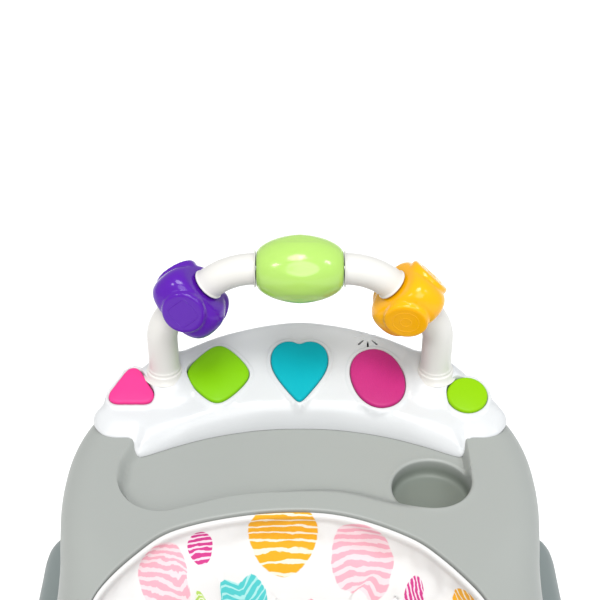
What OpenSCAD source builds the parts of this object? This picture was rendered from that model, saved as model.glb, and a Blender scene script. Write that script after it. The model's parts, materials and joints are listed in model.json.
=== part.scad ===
// Activity walker-bouncer: a fabric bucket seat hung on springs inside a play tray,
// carried by a folding scissor frame on a wheeled base, with a light-and-sound
// console and a three-toy bar. Millimetres, +Z up, +Y the way the child faces,
// origin on the floor under the middle of the base.

/* [Heights] */
// Height of the tray's top surface above the floor, frame fully raised
tray_z = 400; // [392:1:406]
// Height of the base's top surface above the floor
base_z = 100; // [96:1:100]
// Height of the lower frame pivots above the floor
low_pivot_z = 112; // [112:1:114]

/* [Frame] */
// Radius of the frame tubes
tube_r = 9.5; // [8.5:0.1:9.5]
// Radius of every frame pin
pin_r = 4; // [3:0.1:4]
// Fore-and-aft position of the fixed rear pivots
rear_y = -165; // [-175:1:-160]
// Fore-and-aft position of the sliding front cross bars, frame raised
front_y = 175; // [172:1:178]
// Distance that the cross bars slide forward as the frame folds
slide_run = 62; // [62:1:66]

/* [Wheels] */
// Radius of all four wheels
wheel_r = 25; // [24:0.5:25]
// Width of all four wheels
wheel_w = 20; // [16:1:20]
// Distance from the caster's swivel axis back to its axle
trail = 16; // [12:1:16]
// Sideways distance of the wheels from the middle
wheel_x = 262; // [258:1:264]

/* [Tray] */
// Thickness of moulded walls
wall = 3.5; // [2.5:0.1:3.5]
// Radius of the cup well
cup_r = 43.5; // [38:0.5:43.5]
// Depth of the snack recess below the tray's top surface
recess_depth = 14; // [10:1:14]
// Depth of the cup well below the tray's top surface
cup_depth = 37; // [30:1:37]

/* [Console] */
// Slope of the console's face towards the child, in degrees
tilt = 17.5; // [17.5:0.1:17.5]
// Clearance around each button
gap = 0.7; // [0.5:0.1:0.9]
// Height that the button caps stand above the console
cap_h = 7; // [5:0.5:8]

/* [Toy bar] */
// Radius of the bar's tube
bar_r = 17.6; // [16:0.1:17.6]
// Radius of the barrel at its middle
barrel_r = 38.5; // [34:0.5:38.5]
// Distance from a tumbler's axle to its flat faces
tumbler_h = 36; // [33:0.5:36]

/* [Seat] */
// Travel of the seat on its springs
bounce = 22; // [16:1:22]

/* [Hidden] */
$fn = 48;

grey = [0.70, 0.73, 0.73];
white = [0.95, 0.95, 0.96];
steel = [0.80, 0.81, 0.82];
black = [0.13, 0.13, 0.14];

top_pivot_z = tray_z - 70;
mid_y = (rear_y + front_y) / 2;
mid_z = (low_pivot_z + top_pivot_z) / 2;
run = front_y - rear_y;
rise = top_pivot_z - low_pivot_z;
leg_len = sqrt(run * run + rise * rise);
leg_deg = atan2(rise, run);
outer_x = 236;
inner_x = 212;
under_z = tray_z - 55;
deck_z = tray_z - recess_depth;

// Mirrors a right-hand half outline that starts and ends on x = 0
function both(h) = concat(h, [for (i = [len(h) - 2 : -1 : 1]) [-h[i][0], h[i][1]]]);
// Moves a clockwise outline inwards by d, or outwards when d is negative
function unit(v) = v / norm(v);
function inset(p, d) = [for (i = [0 : len(p) - 1])
  let (n = len(p), a = p[(i + n - 1) % n], b = p[i], c = p[(i + 1) % n],
       e = unit(b - a), f = unit(c - b),
       ne = [e[1], -e[0]], nf = [f[1], -f[0]], m = unit(ne + nf))
  b + m * (d / max(0.5, m * ne))];

tray_out = both([[0, 350], [74, 338], [140, 311], [186, 284], [212, 262], [232, 236], [246, 208],
  [254, 184], [260, 152], [262, 118], [261, 80], [256, 35], [251.5, 0], [249, -50], [249, -110],
  [246, -170], [237, -225], [217, -268], [185, -300], [140, -322], [80, -333], [0, -337]]);
seat_hole = [[30, 57], [64, 48], [97, 33], [127, 14], [148, -8], [166, -31], [184, -59], [197, -95],
  [202, -140], [198, -190], [180, -235], [145, -268], [90, -287], [0, -293], [-90, -287],
  [-145, -268], [-182, -235], [-202, -190], [-210, -140], [-211, -95], [-208, -62], [-196, -36],
  [-172, -3], [-145, 25], [-114, 40], [-60, 54], [-10, 59]];
recess = [[188, 215], [189, 165], [189, 120], [187, 95], [177, 73], [160, 61.5], [144, 59], [115, 60],
  [92, 66], [62, 77], [32, 83.7], [-23, 84.6], [-75, 78], [-115, 65], [-145, 56], [-162, 57.5],
  [-180, 66.5], [-194, 84], [-201, 104], [-202.5, 120], [-200, 138], [-193, 152], [-189, 165], [-188, 215]];
base_out = both([[0, 355], [80, 354], [160, 350], [235, 341], [285, 331], [312, 322], [328, 311], [336, 297],
  [339.5, 278], [340, 240], [340, 0], [340, -180], [337, -240], [326, -290], [303, -327],
  [262, -347], [200, -354], [120, -355], [0, -355]]);
base_in = both([[0, 268], [70, 264], [130, 251], [165, 226], [178, 190], [180, 100], [180, -100],
  [180, -190], [172, -235], [145, -258], [90, -268], [0, -270]]);
con_out = both([[0, 343], [72, 331], [136, 305], [181, 280], [205, 260], [222, 238], [233, 218],
  [238.5, 204], [237, 194], [231.5, 183.5], [225, 176.5], [213, 172], [197, 171.5], [190.5, 167], [187.5, 159],
  [184, 154], [178, 154.5], [142, 171], [109, 184], [77, 193], [40, 199.5], [0, 201.5]]);
con_skirt = both([[0, 215], [170, 215], [184, 176], [185.5, 161], [183, 155], [178, 155.5], [142, 172], [109, 185], [77, 194],
  [40, 200.5], [0, 202.5]]);
cup_at = [145, 106];
screw_at = [[60, 318], [-60, 318], [120, 290], [-120, 290], [200, 215], [-200, 215]];
bolt_at = [[116.8, 33.9], [-133.6, 42.4], [169.4, -258.8], [-170.3, -258.7]];

module slab(p, z0, z1) { translate([0, 0, z0]) linear_extrude(z1 - z0) polygon(p); }
module ring(p, q, z0, z1) {
  translate([0, 0, z0]) linear_extrude(z1 - z0) difference() { polygon(p); polygon(q); }
}
module rod_x(x0, x1, y, z, r) { translate([x0, y, z]) rotate([0, 90, 0]) cylinder(h = x1 - x0, r = r); }

// ---------- base ----------
module base_shell() {
  color(grey) {
    difference() {
      ring(base_out, base_in, 32, base_z);
      ring(inset(base_out, wall), inset(base_in, -wall), 31, base_z - wall);
    }
    for (sx = [-1, 1]) translate([sx * wheel_x, 215, 60]) difference() {
      cylinder(h = base_z - wall - 60, r = 12);
      translate([0, 0, -1]) cylinder(h = base_z - wall - 65, r = 6.05);
    }
  }
}
module base_bottom_cover() {
  color(grey) difference() {
    ring(inset(base_out, wall + 0.3), inset(base_in, -wall - 0.3), 34, 37);
    for (sx = [-1, 1]) {
      translate([sx * wheel_x, 215, 30]) cylinder(h = 10, r = 46);
      translate([sx * wheel_x - 19, -292, 30]) cube([38, 60, 10]);
    }
  }
}
module stair_stop_pads() {
  color(black) for (p = [[262, 110, 0], [262, -140, 0], [90, 309, 90], [90, -312, 90]], sx = [-1, 1])
    translate([sx * p[0], p[1], 14]) rotate([0, 0, p[2]]) translate([-9, -35, 0]) cube([18, 70, 20]);
}
module caster_fork(sx) {
  color(white) translate([sx * wheel_x, 215, 0]) {
    translate([0, 0, 56]) cylinder(h = base_z - wall - 4 - 56 - 5, r = 6);
    translate([0, 0, 53]) cylinder(h = 4, r = 15);
    difference() {
      union() for (s = [-1, 1]) translate([s * (wheel_w / 2 + 2.5) - 1.5, -trail - 11, 16]) cube([3, 27, 38]);
      rod_x(-30, 30, -trail, wheel_r, 3.05);
    }
    translate([-wheel_w / 2 - 4, -trail - 11, 51.5]) cube([wheel_w + 8, 27, 2.5]);
  }
}
module wheel(sx, y) {
  color(black) translate([sx * wheel_x, y, wheel_r]) rotate([0, 90, 0]) difference() {
    rotate_extrude() polygon([[3.05, -wheel_w / 2], [8, -wheel_w / 2], [9, -wheel_w / 2 + 2], [17, -wheel_w / 2 + 2],
      [18, -wheel_w / 2], [wheel_r - 3, -wheel_w / 2], [wheel_r - 1, -wheel_w / 2 + 1], [wheel_r, -wheel_w / 2 + 3],
      [wheel_r, wheel_w / 2 - 3], [wheel_r - 1, wheel_w / 2 - 1], [wheel_r - 3, wheel_w / 2], [18, wheel_w / 2],
      [17, wheel_w / 2 - 2], [9, wheel_w / 2 - 2], [8, wheel_w / 2], [3.05, wheel_w / 2]]);
    translate([0, 0, -20]) cylinder(h = 40, r = 3.05);
  }
}
module axle(sx, y) { color(steel) rod_x(sx * wheel_x - wheel_w / 2 - 5, sx * wheel_x + wheel_w / 2 + 5, y, wheel_r, 3); }
module rear_wheel_bracket(sx) {
  color(white) difference() {
    translate([sx * wheel_x, -262, 0]) {
      for (s = [-1, 1]) translate([s * (wheel_w / 2 + 2.5) - 1.5, -13, 16]) cube([3, 26, 56]);
      translate([-wheel_w / 2 - 4, -13, 70]) cube([wheel_w + 8, 26, base_z - wall - 70]);
    }
    rod_x(sx * wheel_x - 30, sx * wheel_x + 30, -262, wheel_r, 3.05);
  }
}

// ---------- scissor frame ----------
// One side tube from a to b, given as [y, z]
module side_tube(x, a, b) {
  d = b - a;
  translate([x, a[0], a[1]]) rotate([-atan2(d[0], d[1]), 0, 0]) cylinder(h = norm(d), r = tube_r - 0.1);
  for (e = [a, b]) rod_x(x - tube_r, x + tube_r, e[0], e[1], tube_r);
}
module outer_leg_frame() {
  color(white) difference() {
    union() {
      for (s = [-1, 1]) side_tube(s * outer_x, [rear_y, low_pivot_z], [front_y, top_pivot_z]);
      rod_x(-outer_x - tube_r, outer_x + tube_r, front_y, top_pivot_z, tube_r);
    }
    rod_x(-300, 300, rear_y, low_pivot_z, pin_r + 0.05);
    rod_x(-300, 300, mid_y, mid_z, pin_r + 0.05);
  }
}
module inner_leg_frame() {
  color(white) difference() {
    union() {
      for (s = [-1, 1]) side_tube(s * inner_x, [front_y, low_pivot_z], [rear_y, top_pivot_z]);
      rod_x(-inner_x - tube_r, inner_x + tube_r, front_y, low_pivot_z, tube_r);
    }
    rod_x(-300, 300, rear_y, top_pivot_z, pin_r + 0.05);
    rod_x(-300, 300, mid_y, mid_z, pin_r + 0.05);
  }
}
module scissor_pins() {
  color(steel) for (s = [-1, 1]) {
    rod_x(s > 0 ? 200 : -262, s > 0 ? 262 : -200, mid_y, mid_z, pin_r);
    rod_x(s > 0 ? 197.5 : -200.5, s > 0 ? 200.5 : -197.5, mid_y, mid_z, 7);
    rod_x(s > 0 ? 222 : -226, s > 0 ? 226 : -222, mid_y, mid_z, 8);
  }
}
module lock_knob(s) {
  color(grey) translate([s * 247, mid_y, mid_z]) rotate([0, s * 90, 0]) difference() {
    union() {
      cylinder(h = 5, r = 13);
      translate([0, 0, 4]) linear_extrude(17) polygon([for (a = [0 : 6 : 359]) (19 + 2.4 * cos(5 * a)) * [cos(a), sin(a)]]);
    }
    translate([0, 0, -1]) cylinder(h = 17, r = pin_r + 0.05);
  }
}
// Ears that hold a leg's end: x0 and x1 are the tube's two sides
module ears(x0, x1, z0, z1, plate_z) {
  for (s = [-1, 1]) {
    for (r = [[x0 - 5, x0 - 1], [x1 + 1, x1 + 5]])
      translate([s > 0 ? r[0] : -r[1], rear_y - 13, z0]) cube([r[1] - r[0], 26, z1 - z0]);
    translate([s > 0 ? x0 - 5 : -x1 - 5, rear_y - 13, plate_z]) cube([x1 - x0 + 10, 26, 2]);
  }
}
module base_pivot_brackets() {
  color(grey) difference() {
    ears(outer_x - tube_r, outer_x + tube_r, base_z, low_pivot_z + 13, base_z);
    rod_x(-300, 300, rear_y, low_pivot_z, pin_r + 0.05);
  }
}
module tray_pivot_brackets() {
  color(grey) difference() {
    ears(inner_x - tube_r, inner_x + tube_r, top_pivot_z - 13, under_z, under_z - 2);
    rod_x(-300, 300, rear_y, top_pivot_z, pin_r + 0.05);
  }
}
module pivot_pins(x0, x1, z) {
  color(steel) for (s = [-1, 1]) {
    rod_x(s > 0 ? x0 : -x1, s > 0 ? x1 : -x0, rear_y, z, pin_r);
    rod_x(s > 0 ? x1 : -x1 - 2.5, s > 0 ? x1 + 2.5 : -x1, rear_y, z, 7);
  }
}
module slide_guides(z0, z1, zs) {
  color(grey) for (s = [-1, 1]) difference() {
    translate([s > 0 ? 194 : -199, front_y - 15, z0]) cube([5, slide_run + 30, z1 - z0]);
    rod_x(-300, 300, front_y, zs, tube_r + 0.4);
    rod_x(-300, 300, front_y + slide_run, zs, tube_r + 0.4);
    translate([-300, front_y, zs - tube_r - 0.4]) cube([600, slide_run, 2 * tube_r + 0.8]);
  }
}

// ---------- tray ----------
module tray_top() {
  color(grey) difference() {
    union() {
      difference() {
        slab(tray_out, under_z, tray_z);
        // hollow under the deck
        ring(inset(tray_out, wall), inset(seat_hole, -23.5), under_z - 1, deck_z - wall);
        // hollow under the raised rim
        difference() {
          ring(inset(tray_out, wall), inset(seat_hole, -23.5), under_z, tray_z - wall);
          slab(inset(recess, -wall), under_z - 1, tray_z);
        }
        // channel that the seat ring moves in
        slab(inset(seat_hole, -20), under_z - 1, tray_z - 8);
      }
      translate([cup_at[0], cup_at[1], tray_z - cup_depth - wall]) cylinder(h = cup_depth, r = cup_r + wall);
      for (b = bolt_at) translate([b[0], b[1], tray_z - 10]) cylinder(h = 6, r = 7);
    }
    slab(seat_hole, under_z - 2, tray_z + 1);
    translate([0, 0, deck_z]) linear_extrude(40) difference() { polygon(recess); polygon(inset(con_skirt, -0.4)); }
    slab(recess, deck_z + 0.4, tray_z + 1);
    translate([cup_at[0], cup_at[1], deck_z]) cylinder(h = 40, r = cup_r + 1.2, $fn = 96);
    for (p = screw_at) translate([p[0], p[1], tray_z - 12]) cylinder(h = 20, r = 1.7);
    translate([cup_at[0], cup_at[1], tray_z - cup_depth]) cylinder(h = cup_depth + 1, r = cup_r, $fn = 96);
    // battery box opening
    translate([-34, 228, deck_z - 10]) cube([68, 54, 30]);
  }
}
module tray_bottom() {
  color(grey) difference() {
    ring(inset(tray_out, wall + 0.4), inset(seat_hole, -24), under_z, under_z + 3);
    translate([-38, 222, under_z - 1]) cube([76, 64, 5]);
    translate([cup_at[0], cup_at[1], under_z - 1]) cylinder(h = 5, r = 51);
  }
}

// ---------- sprung seat ----------
module seat_ring() {
  color(white) difference() {
    ring(inset(seat_hole, -17), inset(seat_hole, -3), tray_z - 26, tray_z - 14);
    for (b = bolt_at) translate([b[0], b[1], tray_z - 30]) cylinder(h = 20, r = 3.7);
  }
}
module bounce_guide_bolts() {
  color(steel) for (b = bolt_at) translate([b[0], b[1], 0]) {
    translate([0, 0, tray_z - 62]) cylinder(h = 52, r = 3);
    translate([0, 0, tray_z - 62]) cylinder(h = 4, r = 8);
  }
}
coil_turns = 6;
coil_step = 12;
coil_r = 5.6;
wire_r = 0.75;
function coil_ring(i) = let (n = coil_turns * coil_step, t = i / n, a = 360 * coil_turns * t,
  z = tray_z - 57.1 + (30.1 - 0) * t)
  [for (k = [0 : 5]) let (b = 60 * k) [(coil_r + wire_r * cos(b)) * cos(a), (coil_r + wire_r * cos(b)) * sin(a), z + wire_r * sin(b)]];
module coil() {
  n = coil_turns * coil_step;
  pts = [for (i = [0 : n]) each coil_ring(i)];
  faces = concat(
    [for (i = [0 : n - 1], k = [0 : 5]) let (a = i * 6 + k, b = i * 6 + (k + 1) % 6) [a, b, b + 6, a + 6]],
    [[5, 4, 3, 2, 1, 0]], [[for (k = [0 : 5]) n * 6 + k]]);
  polyhedron(points = pts, faces = [for (f = faces) [for (i = [len(f) - 1 : -1 : 0]) f[i]]], convexity = 8);
}
module bounce_springs() { color(steel) for (b = bolt_at) translate([b[0], b[1], 0]) coil(); }

// Fabric bucket: each level is [z, blend from the opening's outline to an oval, half width, front y, rear y]
seat_mid = [0, -117];
levels = [[386, 0, 205, 59, -293], [374, 0.4, 184, 52, -290], [352, 0.8, 165, 26, -283], [326, 0.85, 152, -2, -276],
  [296, 0.97, 140, -30, -265], [262, 1, 128, -56, -250], [230, 1, 114, -80, -230], [207, 1, 86, -108, -205]];
function seat_point(i, l, t) = let (p = seat_hole[i], q = p - seat_mid, a = atan2(q[1] * 205 / 176, q[0]),
  hw = l[2] - t, hl = (l[3] - l[4]) / 2 - t, yc = (l[3] + l[4]) / 2,
  o = [hw * cos(a), yc + hl * sin(a)], s = inset(seat_hole, -3 + t)[i])
  [s[0] * (1 - l[1]) + o[0] * l[1], s[1] * (1 - l[1]) + o[1] * l[1], l[0] + tray_z - 400];
module seat_skin(t, dz) {
  m = len(seat_hole);
  n = len(levels);
  pts = concat([for (l = levels) for (i = [0 : m - 1]) seat_point(i, l, t) + [0, 0, dz]],
    [for (j = [0, n - 1]) [seat_mid[0], seat_mid[1] - (j > 0 ? 40 : 0), levels[j][0] + tray_z - 400 + dz]]);
  polyhedron(points = pts, faces = concat(
    [for (j = [0 : n - 2], i = [0 : m - 1], h = [0, 1]) let (a = j * m + i, b = j * m + (i + 1) % m)
      h == 0 ? [a, b + m, b] : [a, a + m, b + m]],
    [for (i = [0 : m - 1]) [(i + 1) % m, n * m, i]],
    [for (i = [0 : m - 1]) [(n - 1) * m + i, n * m + 1, (n - 1) * m + (i + 1) % m]]), convexity = 4);
}
module seat_fabric() {
  color([0.96, 0.95, 0.93]) difference() {
    seat_skin(0, 0);
    translate([0, 0, 5]) seat_skin(5, 0.01);
    translate([0, 0, tray_z - 14]) translate([-300, -400, 0]) cube([600, 600, 10]);
    for (s = [-1, 1]) translate([s * 60, -110, tray_z - 100]) rotate([-131, 0, s * -15]) cylinder(h = 120, r = 43);
  }
}
module seat_back_pad() {
  color([0.95, 0.94, 0.92]) translate([0, 0, tray_z - 14]) linear_extrude(104)
    polygon([[118, -276], [90, -285.5], [0, -291.5], [-90, -285.5], [-118, -276], [-112, -250], [-60, -259], [0, -262], [60, -259], [112, -250]]);
}

// ---------- console ----------
module on_face() { translate([0, 165, tray_z + 4]) rotate([tilt, 0, 0]) children(); }
module under_face(d) {
  intersection() {
    on_face() translate([-300, -200, -160]) cube([600, 520, 160 - d]);
    translate([0, 318, tray_z + 52.2]) rotate([-50, 0, 0]) translate([-300, -400, -200]) cube([600, 600, 200 - d]);
    children();
  }
}
// Button outlines, in the plane of the console's face
function blob(c, w, h, e, n = 36) = [for (i = [0 : n - 1]) let (a = -360 * i / n, k = pow(pow(abs(cos(a)), e) + pow(abs(sin(a)), e), -1 / e))
  c + [w * k * cos(a), h * k * sin(a)]];
function turn(p, c, a) = [for (q = p) let (d = q - c) c + [d[0] * cos(a) - d[1] * sin(a), d[0] * sin(a) + d[1] * cos(a)]];
tri_c = [-194.5, 65];
tri = [for (i = [0 : 35]) let (a = 90 - 10 * i, r = 23.5 + 4.6 * cos(3 * (a - 90)) + 0.8 * cos(6 * (a - 90))) tri_c + [r * cos(a), r * sin(a)]];
dia_c = [-95.5, 86];
dia = blob(dia_c, 37, 40, 1.28);
heart_c = [-0.6, 90];
heart = both([[0, 38], [9, 41], [18, 40.5], [26, 36], [31.5, 28], [33.5, 18], [32.5, 7], [28.5, -4], [21.5, -16], [13, -28], [6, -37], [2.5, -40.5], [0, -41.5]]);
oval_c = [90.5, 80.5];
oval = turn(blob(oval_c, 30.5, 40.5, 2.15), oval_c, 17);
disc_c = [193, 57];
module cap(p, lip = 2.2) {
  on_face() {
    translate([0, 0, -9]) linear_extrude(9 + cap_h) polygon(p);
    translate([0, 0, -11]) linear_extrude(3) polygon(inset(p, -lip));
  }
}
module triangle_button() { color([0.98, 0.30, 0.63]) cap(tri, 1.5); }
module diamond_button() { color([0.45, 0.80, 0.02]) cap(dia); }
module heart_button() { color([0.0, 0.66, 0.73]) cap([for (q = heart) q + heart_c]); }
module oval_button() { color([0.86, 0.16, 0.53]) cap(oval); }
module round_button() {
  color([0.53, 0.85, 0.02]) on_face() translate([disc_c[0], disc_c[1], -9]) {
    cylinder(h = 9 + cap_h, r = 23.5);
    translate([0, 0, -2]) cylinder(h = 3, r = 25.2);
  }
}
module button_holes() {
  on_face() {
    for (p = [tri, dia, [for (q = heart) q + heart_c], oval]) translate([0, 0, -6]) linear_extrude(30) polygon(inset(p, -gap));
    translate([disc_c[0], disc_c[1], -6]) cylinder(h = 30, r = 23.5 + gap);
  }
}
foot_at = [157.7, 248];
// Space that the pressed caps sweep, with 1.5 mm to spare
module press_room() {
  on_face() {
    for (p = [tri, dia, [for (q = heart) q + heart_c], oval]) translate([0, 0, -16]) linear_extrude(24) polygon(inset(p, -4));
    translate([disc_c[0], disc_c[1], -16]) cylinder(h = 24, r = 27.5);
  }
}
module console_housing() {
  color(white) difference() {
    union() {
      under_face(0) slab(con_out, tray_z + 0.2, tray_z + 80);
      under_face(0) slab(con_skirt, deck_z + 0.7, tray_z + 20);
      for (s = [-1, 1]) translate([s * foot_at[0], foot_at[1], tray_z + 6]) cylinder(h = 33, r = bar_r + 4.5);
    }
    under_face(3.4) slab(inset(con_out, 3.2), tray_z - 1, tray_z + 80);
    under_face(3.4) slab(inset(con_skirt, 3.2), deck_z, tray_z + 2);
    button_holes();
    for (s = [-1, 1]) translate([s * foot_at[0], foot_at[1], tray_z - 10]) cylinder(h = 60, r = bar_r + 0.05);
    // speaker slots
    on_face() for (a = [0 : 45 : 359]) translate([80.5, 133, -8]) rotate([0, 0, a]) translate([7, -1.1, 0]) cube([9, 2.2, 20]);
    // slot for the power switch
    translate([-36, 337, tray_z + 9]) rotate([0, 0, 9.46]) translate([-11, -8, -3]) cube([22, 16, 6]);
  }
}
module console_base() {
  color(white) difference() {
    union() {
      slab([for (q = inset(con_out, 4)) [q[0] * 0.99, max(q[1], 186)]], tray_z + 0.3, tray_z + 3.3);
      translate([-33, 229, tray_z - 27]) cube([66, 52, 28]);
    }
    translate([-31, 231, tray_z - 30]) cube([62, 48, 28]);
    for (p = screw_at) translate([p[0], p[1], tray_z - 4]) cylinder(h = 20, r = 1.7);
    for (s = [-1, 1]) translate([s * foot_at[0], foot_at[1], tray_z - 10]) cylinder(h = 60, r = bar_r + 5);
    press_room();
  }
}
module battery_door() {
  color(grey) difference() {
    translate([-33, 229, tray_z - 30]) cube([66, 52, 2.8]);
    translate([0, 235, tray_z - 32]) cylinder(h = 8, r = 1.7);
  }
}
module batteries() { color([0.2, 0.45, 0.7]) for (y = [239, 255, 271]) rod_x(-25, 25, y, tray_z - 18, 7.1); }
module speaker() {
  color(black) on_face() {
    translate([80.5, 133, -19]) cylinder(h = 4, r = 19);
    translate([80.5, 133, -27]) cylinder(h = 8, r = 11);
  }
}
board_z = tray_z + 3.4;
module circuit_board() {
  color([0.12, 0.42, 0.22]) translate([0, 0, board_z]) linear_extrude(1.6) difference() {
    intersection() { polygon(inset(con_out, 11)); translate([-300, 216]) square([600, 91]); }
    for (s = [-1, 1]) translate([s * foot_at[0], foot_at[1]]) circle(r = bar_r + 7);
    for (p = screw_at) translate([p[0], p[1]]) circle(r = 6);
  }
  // post that carries the speaker
  color([0.12, 0.42, 0.22]) difference() {
    translate([80.5, 298, board_z + 1]) cylinder(h = 24, r = 4);
    on_face() translate([80.5, 133, -27]) cylinder(h = 60, r = 40);
  }
}
module button_membrane() {
  color([0.75, 0.75, 0.78]) intersection() {
    on_face() for (c = [tri_c, dia_c, heart_c, oval_c, disc_c]) translate([c[0], c[1], -44]) cylinder(h = 29.7, r = 6);
    translate([-300, 0, board_z + 1.6]) cube([600, 600, 60]);
  }
}
module power_switch() {
  color(black) translate([-36, 337, tray_z + 9]) rotate([0, 0, 9.46]) {
    translate([-9, -4.6, -2.4]) cube([8, 9, 4.8]);
    translate([-10, -9, -4.2]) cube([12, 4.5, 9]);
  }
}

// ---------- toy bar ----------
bar_y = 248;
foot_z = tray_z + 6;
spin_c = [122, 540];        // tumbler's centre, [x, z], mirrored left
spin_half = 27.5;
r1 = 52;
r2 = 74;
spin_lo = spin_c + spin_half * [cos(45), -cos(45)];
spin_hi = spin_c - spin_half * [cos(45), -cos(45)];
top_z = spin_hi[1] + r2 * (1 - cos(45)) + tray_z - 400;
// Bent tube in the XZ plane on the +X side: leg, and arm
module leg_path(r) {
  cx = foot_at[0] - r1;
  bx = spin_lo[0] - r1 * cos(45);
  zc = spin_lo[1] - r1 * sin(45) + tray_z - 400;
  translate([foot_at[0], bar_y, foot_z]) cylinder(h = zc - foot_z, r = r);
  translate([foot_at[0] - r1, bar_y, zc]) rotate([90, 0, 0]) rotate_extrude(angle = 45) translate([r1, 0]) circle(r = r);
}
module arm_path(r) {
  translate([spin_hi[0] - r2 * cos(45), bar_y, top_z - r2]) rotate([90, 0, 0])
    rotate([0, 0, 45]) rotate_extrude(angle = 45) translate([r2, 0]) circle(r = r);
}
module scale_x(s) { if (s > 0) children(); else mirror([1, 0, 0]) children(); }
// Frame on the +X tumbler's axle: +Z runs along it, up towards the middle
module on_spin(d = 0) {
  translate([spin_c[0], bar_y, spin_c[1] + tray_z - 400]) rotate([0, -45, 0]) translate([0, 0, d]) children();
}
module bar_leg_solid(s) {
  color(white) scale_x(s) difference() {
    union() {
      leg_path(bar_r);
      on_spin(-spin_half - 2) cylinder(h = 2.2, r = bar_r + 1.2);
    }
    difference() { leg_path(bar_r - 3); on_spin(-spin_half - 6) cylinder(h = 12, r = bar_r + 4); }
    on_spin(-spin_half - 10) cylinder(h = 12, r = 6.05);
  }
}
module bar_arm_solid(s) {
  color(white) scale_x(s) difference() {
    union() {
      arm_path(bar_r);
      on_spin(spin_half - 0.2) cylinder(h = 2.2, r = bar_r + 1.2);
      rod_x(48.6, 51.6, bar_y, top_z, 20);
    }
    difference() {
      arm_path(bar_r - 3);
      on_spin(spin_half - 6) cylinder(h = 12, r = bar_r + 4);
      rod_x(44, 57, bar_y, top_z, bar_r + 4);
    }
    on_spin(spin_half - 2) cylinder(h = 12, r = 6.05);
    rod_x(40, 60, bar_y, top_z, 6.05);
  }
}
module tumbler_axle(s) { color(steel) scale_x(s) on_spin(-spin_half - 8) cylinder(h = 2 * spin_half + 16, r = 6); }
module barrel_axle() { color(steel) rod_x(-57, 57, bar_y, top_z, 6); }
// Rounded triangular prism with a flat disc on each side
tri_prof = [for (i = [0 : 71]) let (a = -5 * i, r = 38.5 - 9.2 * cos(3 * a) + 1.0 * cos(6 * a)) [r * cos(a), r * sin(a)]];
module tumbler(s, phase) {
  scale_x(s) on_spin(0) rotate([0, 0, phase]) difference() {
    union() {
      translate([0, 0, -24.5]) linear_extrude(49) polygon(tri_prof);
      for (a = [0, 120, 240]) rotate([0, 0, a]) rotate([0, 90, 0]) cylinder(h = tumbler_h, r = 26);
    }
    translate([0, 0, -30]) cylinder(h = 60, r = 6.08);
    for (z = [-30, 21.5]) translate([0, 0, z]) cylinder(h = 8.5, r = 22);
  }
}
module left_tumbler() { color([0.42, 0.20, 0.68]) tumbler(-1, -76); }
module right_tumbler() { color([1.0, 0.68, 0.03]) tumbler(1, -102); }
barrel_prof = [[6.08, -48], [18, -48], [20.5, -47], [22, -44.5], [25.5, -38], [30.5, -28], [34.8, -18], [37.6, -8], [barrel_r, 0],
  [37.6, 8], [34.8, 18], [30.5, 28], [25.5, 38], [22, 44.5], [20.5, 47], [18, 48], [6.08, 48],
  [6.08, 44.5], [17, 44.5], [19, 42], [22.5, 35], [27.5, 26], [31.8, 16], [34.6, 7], [35.5, 0], [34.6, -7], [31.8, -16], [27.5, -26],
  [22.5, -35], [19, -42], [17, -44.5], [6.08, -44.5]];
module barrel_half(a) {
  color([0.66, 0.87, 0.40]) translate([0, bar_y, top_z]) rotate([0, 90, 0]) rotate([0, 0, a])
    rotate_extrude(angle = 180) polygon(barrel_prof);
}
module assembly_screws() {
  color(steel) for (p = screw_at) translate([p[0], p[1], tray_z - wall - 1.9]) {
    cylinder(h = 9, r = 1.6);
    cylinder(h = 1.8, r = 4);
  }
}

base_shell();
base_bottom_cover();
stair_stop_pads();
caster_fork(-1);  // front_left_caster_fork
wheel(-1, 215 - trail);  // front_left_wheel
axle(-1, 215 - trail);  // front_left_axle
caster_fork(1);  // front_right_caster_fork
wheel(1, 215 - trail);  // front_right_wheel
axle(1, 215 - trail);  // front_right_axle
rear_wheel_bracket(-1);  // rear_left_wheel_bracket
wheel(-1, -262);  // rear_left_wheel
axle(-1, -262);  // rear_left_axle
rear_wheel_bracket(1);  // rear_right_wheel_bracket
wheel(1, -262);  // rear_right_wheel
axle(1, -262);  // rear_right_axle
base_pivot_brackets();
slide_guides(base_z, low_pivot_z + 14, low_pivot_z);  // base_slide_guides
pivot_pins(220, 250.5, low_pivot_z);  // base_pivot_pins
outer_leg_frame();
inner_leg_frame();
scissor_pins();
lock_knob(-1);  // left_lock_knob
lock_knob(1);  // right_lock_knob
tray_pivot_brackets();
slide_guides(top_pivot_z - 14, under_z, top_pivot_z);  // tray_slide_guides
pivot_pins(196, 226.5, top_pivot_z);  // tray_pivot_pins
tray_top();
tray_bottom();
seat_ring();
bounce_guide_bolts();
bounce_springs();
seat_fabric();
seat_back_pad();
console_housing();
console_base();
battery_door();
batteries();
speaker();
circuit_board();
button_membrane();
triangle_button();
diamond_button();
heart_button();
oval_button();
round_button();
power_switch();
bar_leg_solid(-1);  // bar_left_leg
bar_arm_solid(-1);  // bar_left_arm
bar_arm_solid(1);  // bar_right_arm
bar_leg_solid(1);  // bar_right_leg
tumbler_axle(-1);  // left_tumbler_axle
barrel_axle();
tumbler_axle(1);  // right_tumbler_axle
left_tumbler();
barrel_half(90);  // barrel_front_shell
barrel_half(-90);  // barrel_rear_shell
right_tumbler();
assembly_screws();
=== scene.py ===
# Looks of the activity bouncer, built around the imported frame.  Numbers below are millimetres
# unless they go straight to Blender, which works in metres.
import json
import math
import bpy
import bmesh
import numpy as np
from mathutils import Vector, Matrix
from mathutils.geometry import delaunay_2d_cdt
from mathutils.kdtree import KDTree


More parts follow.
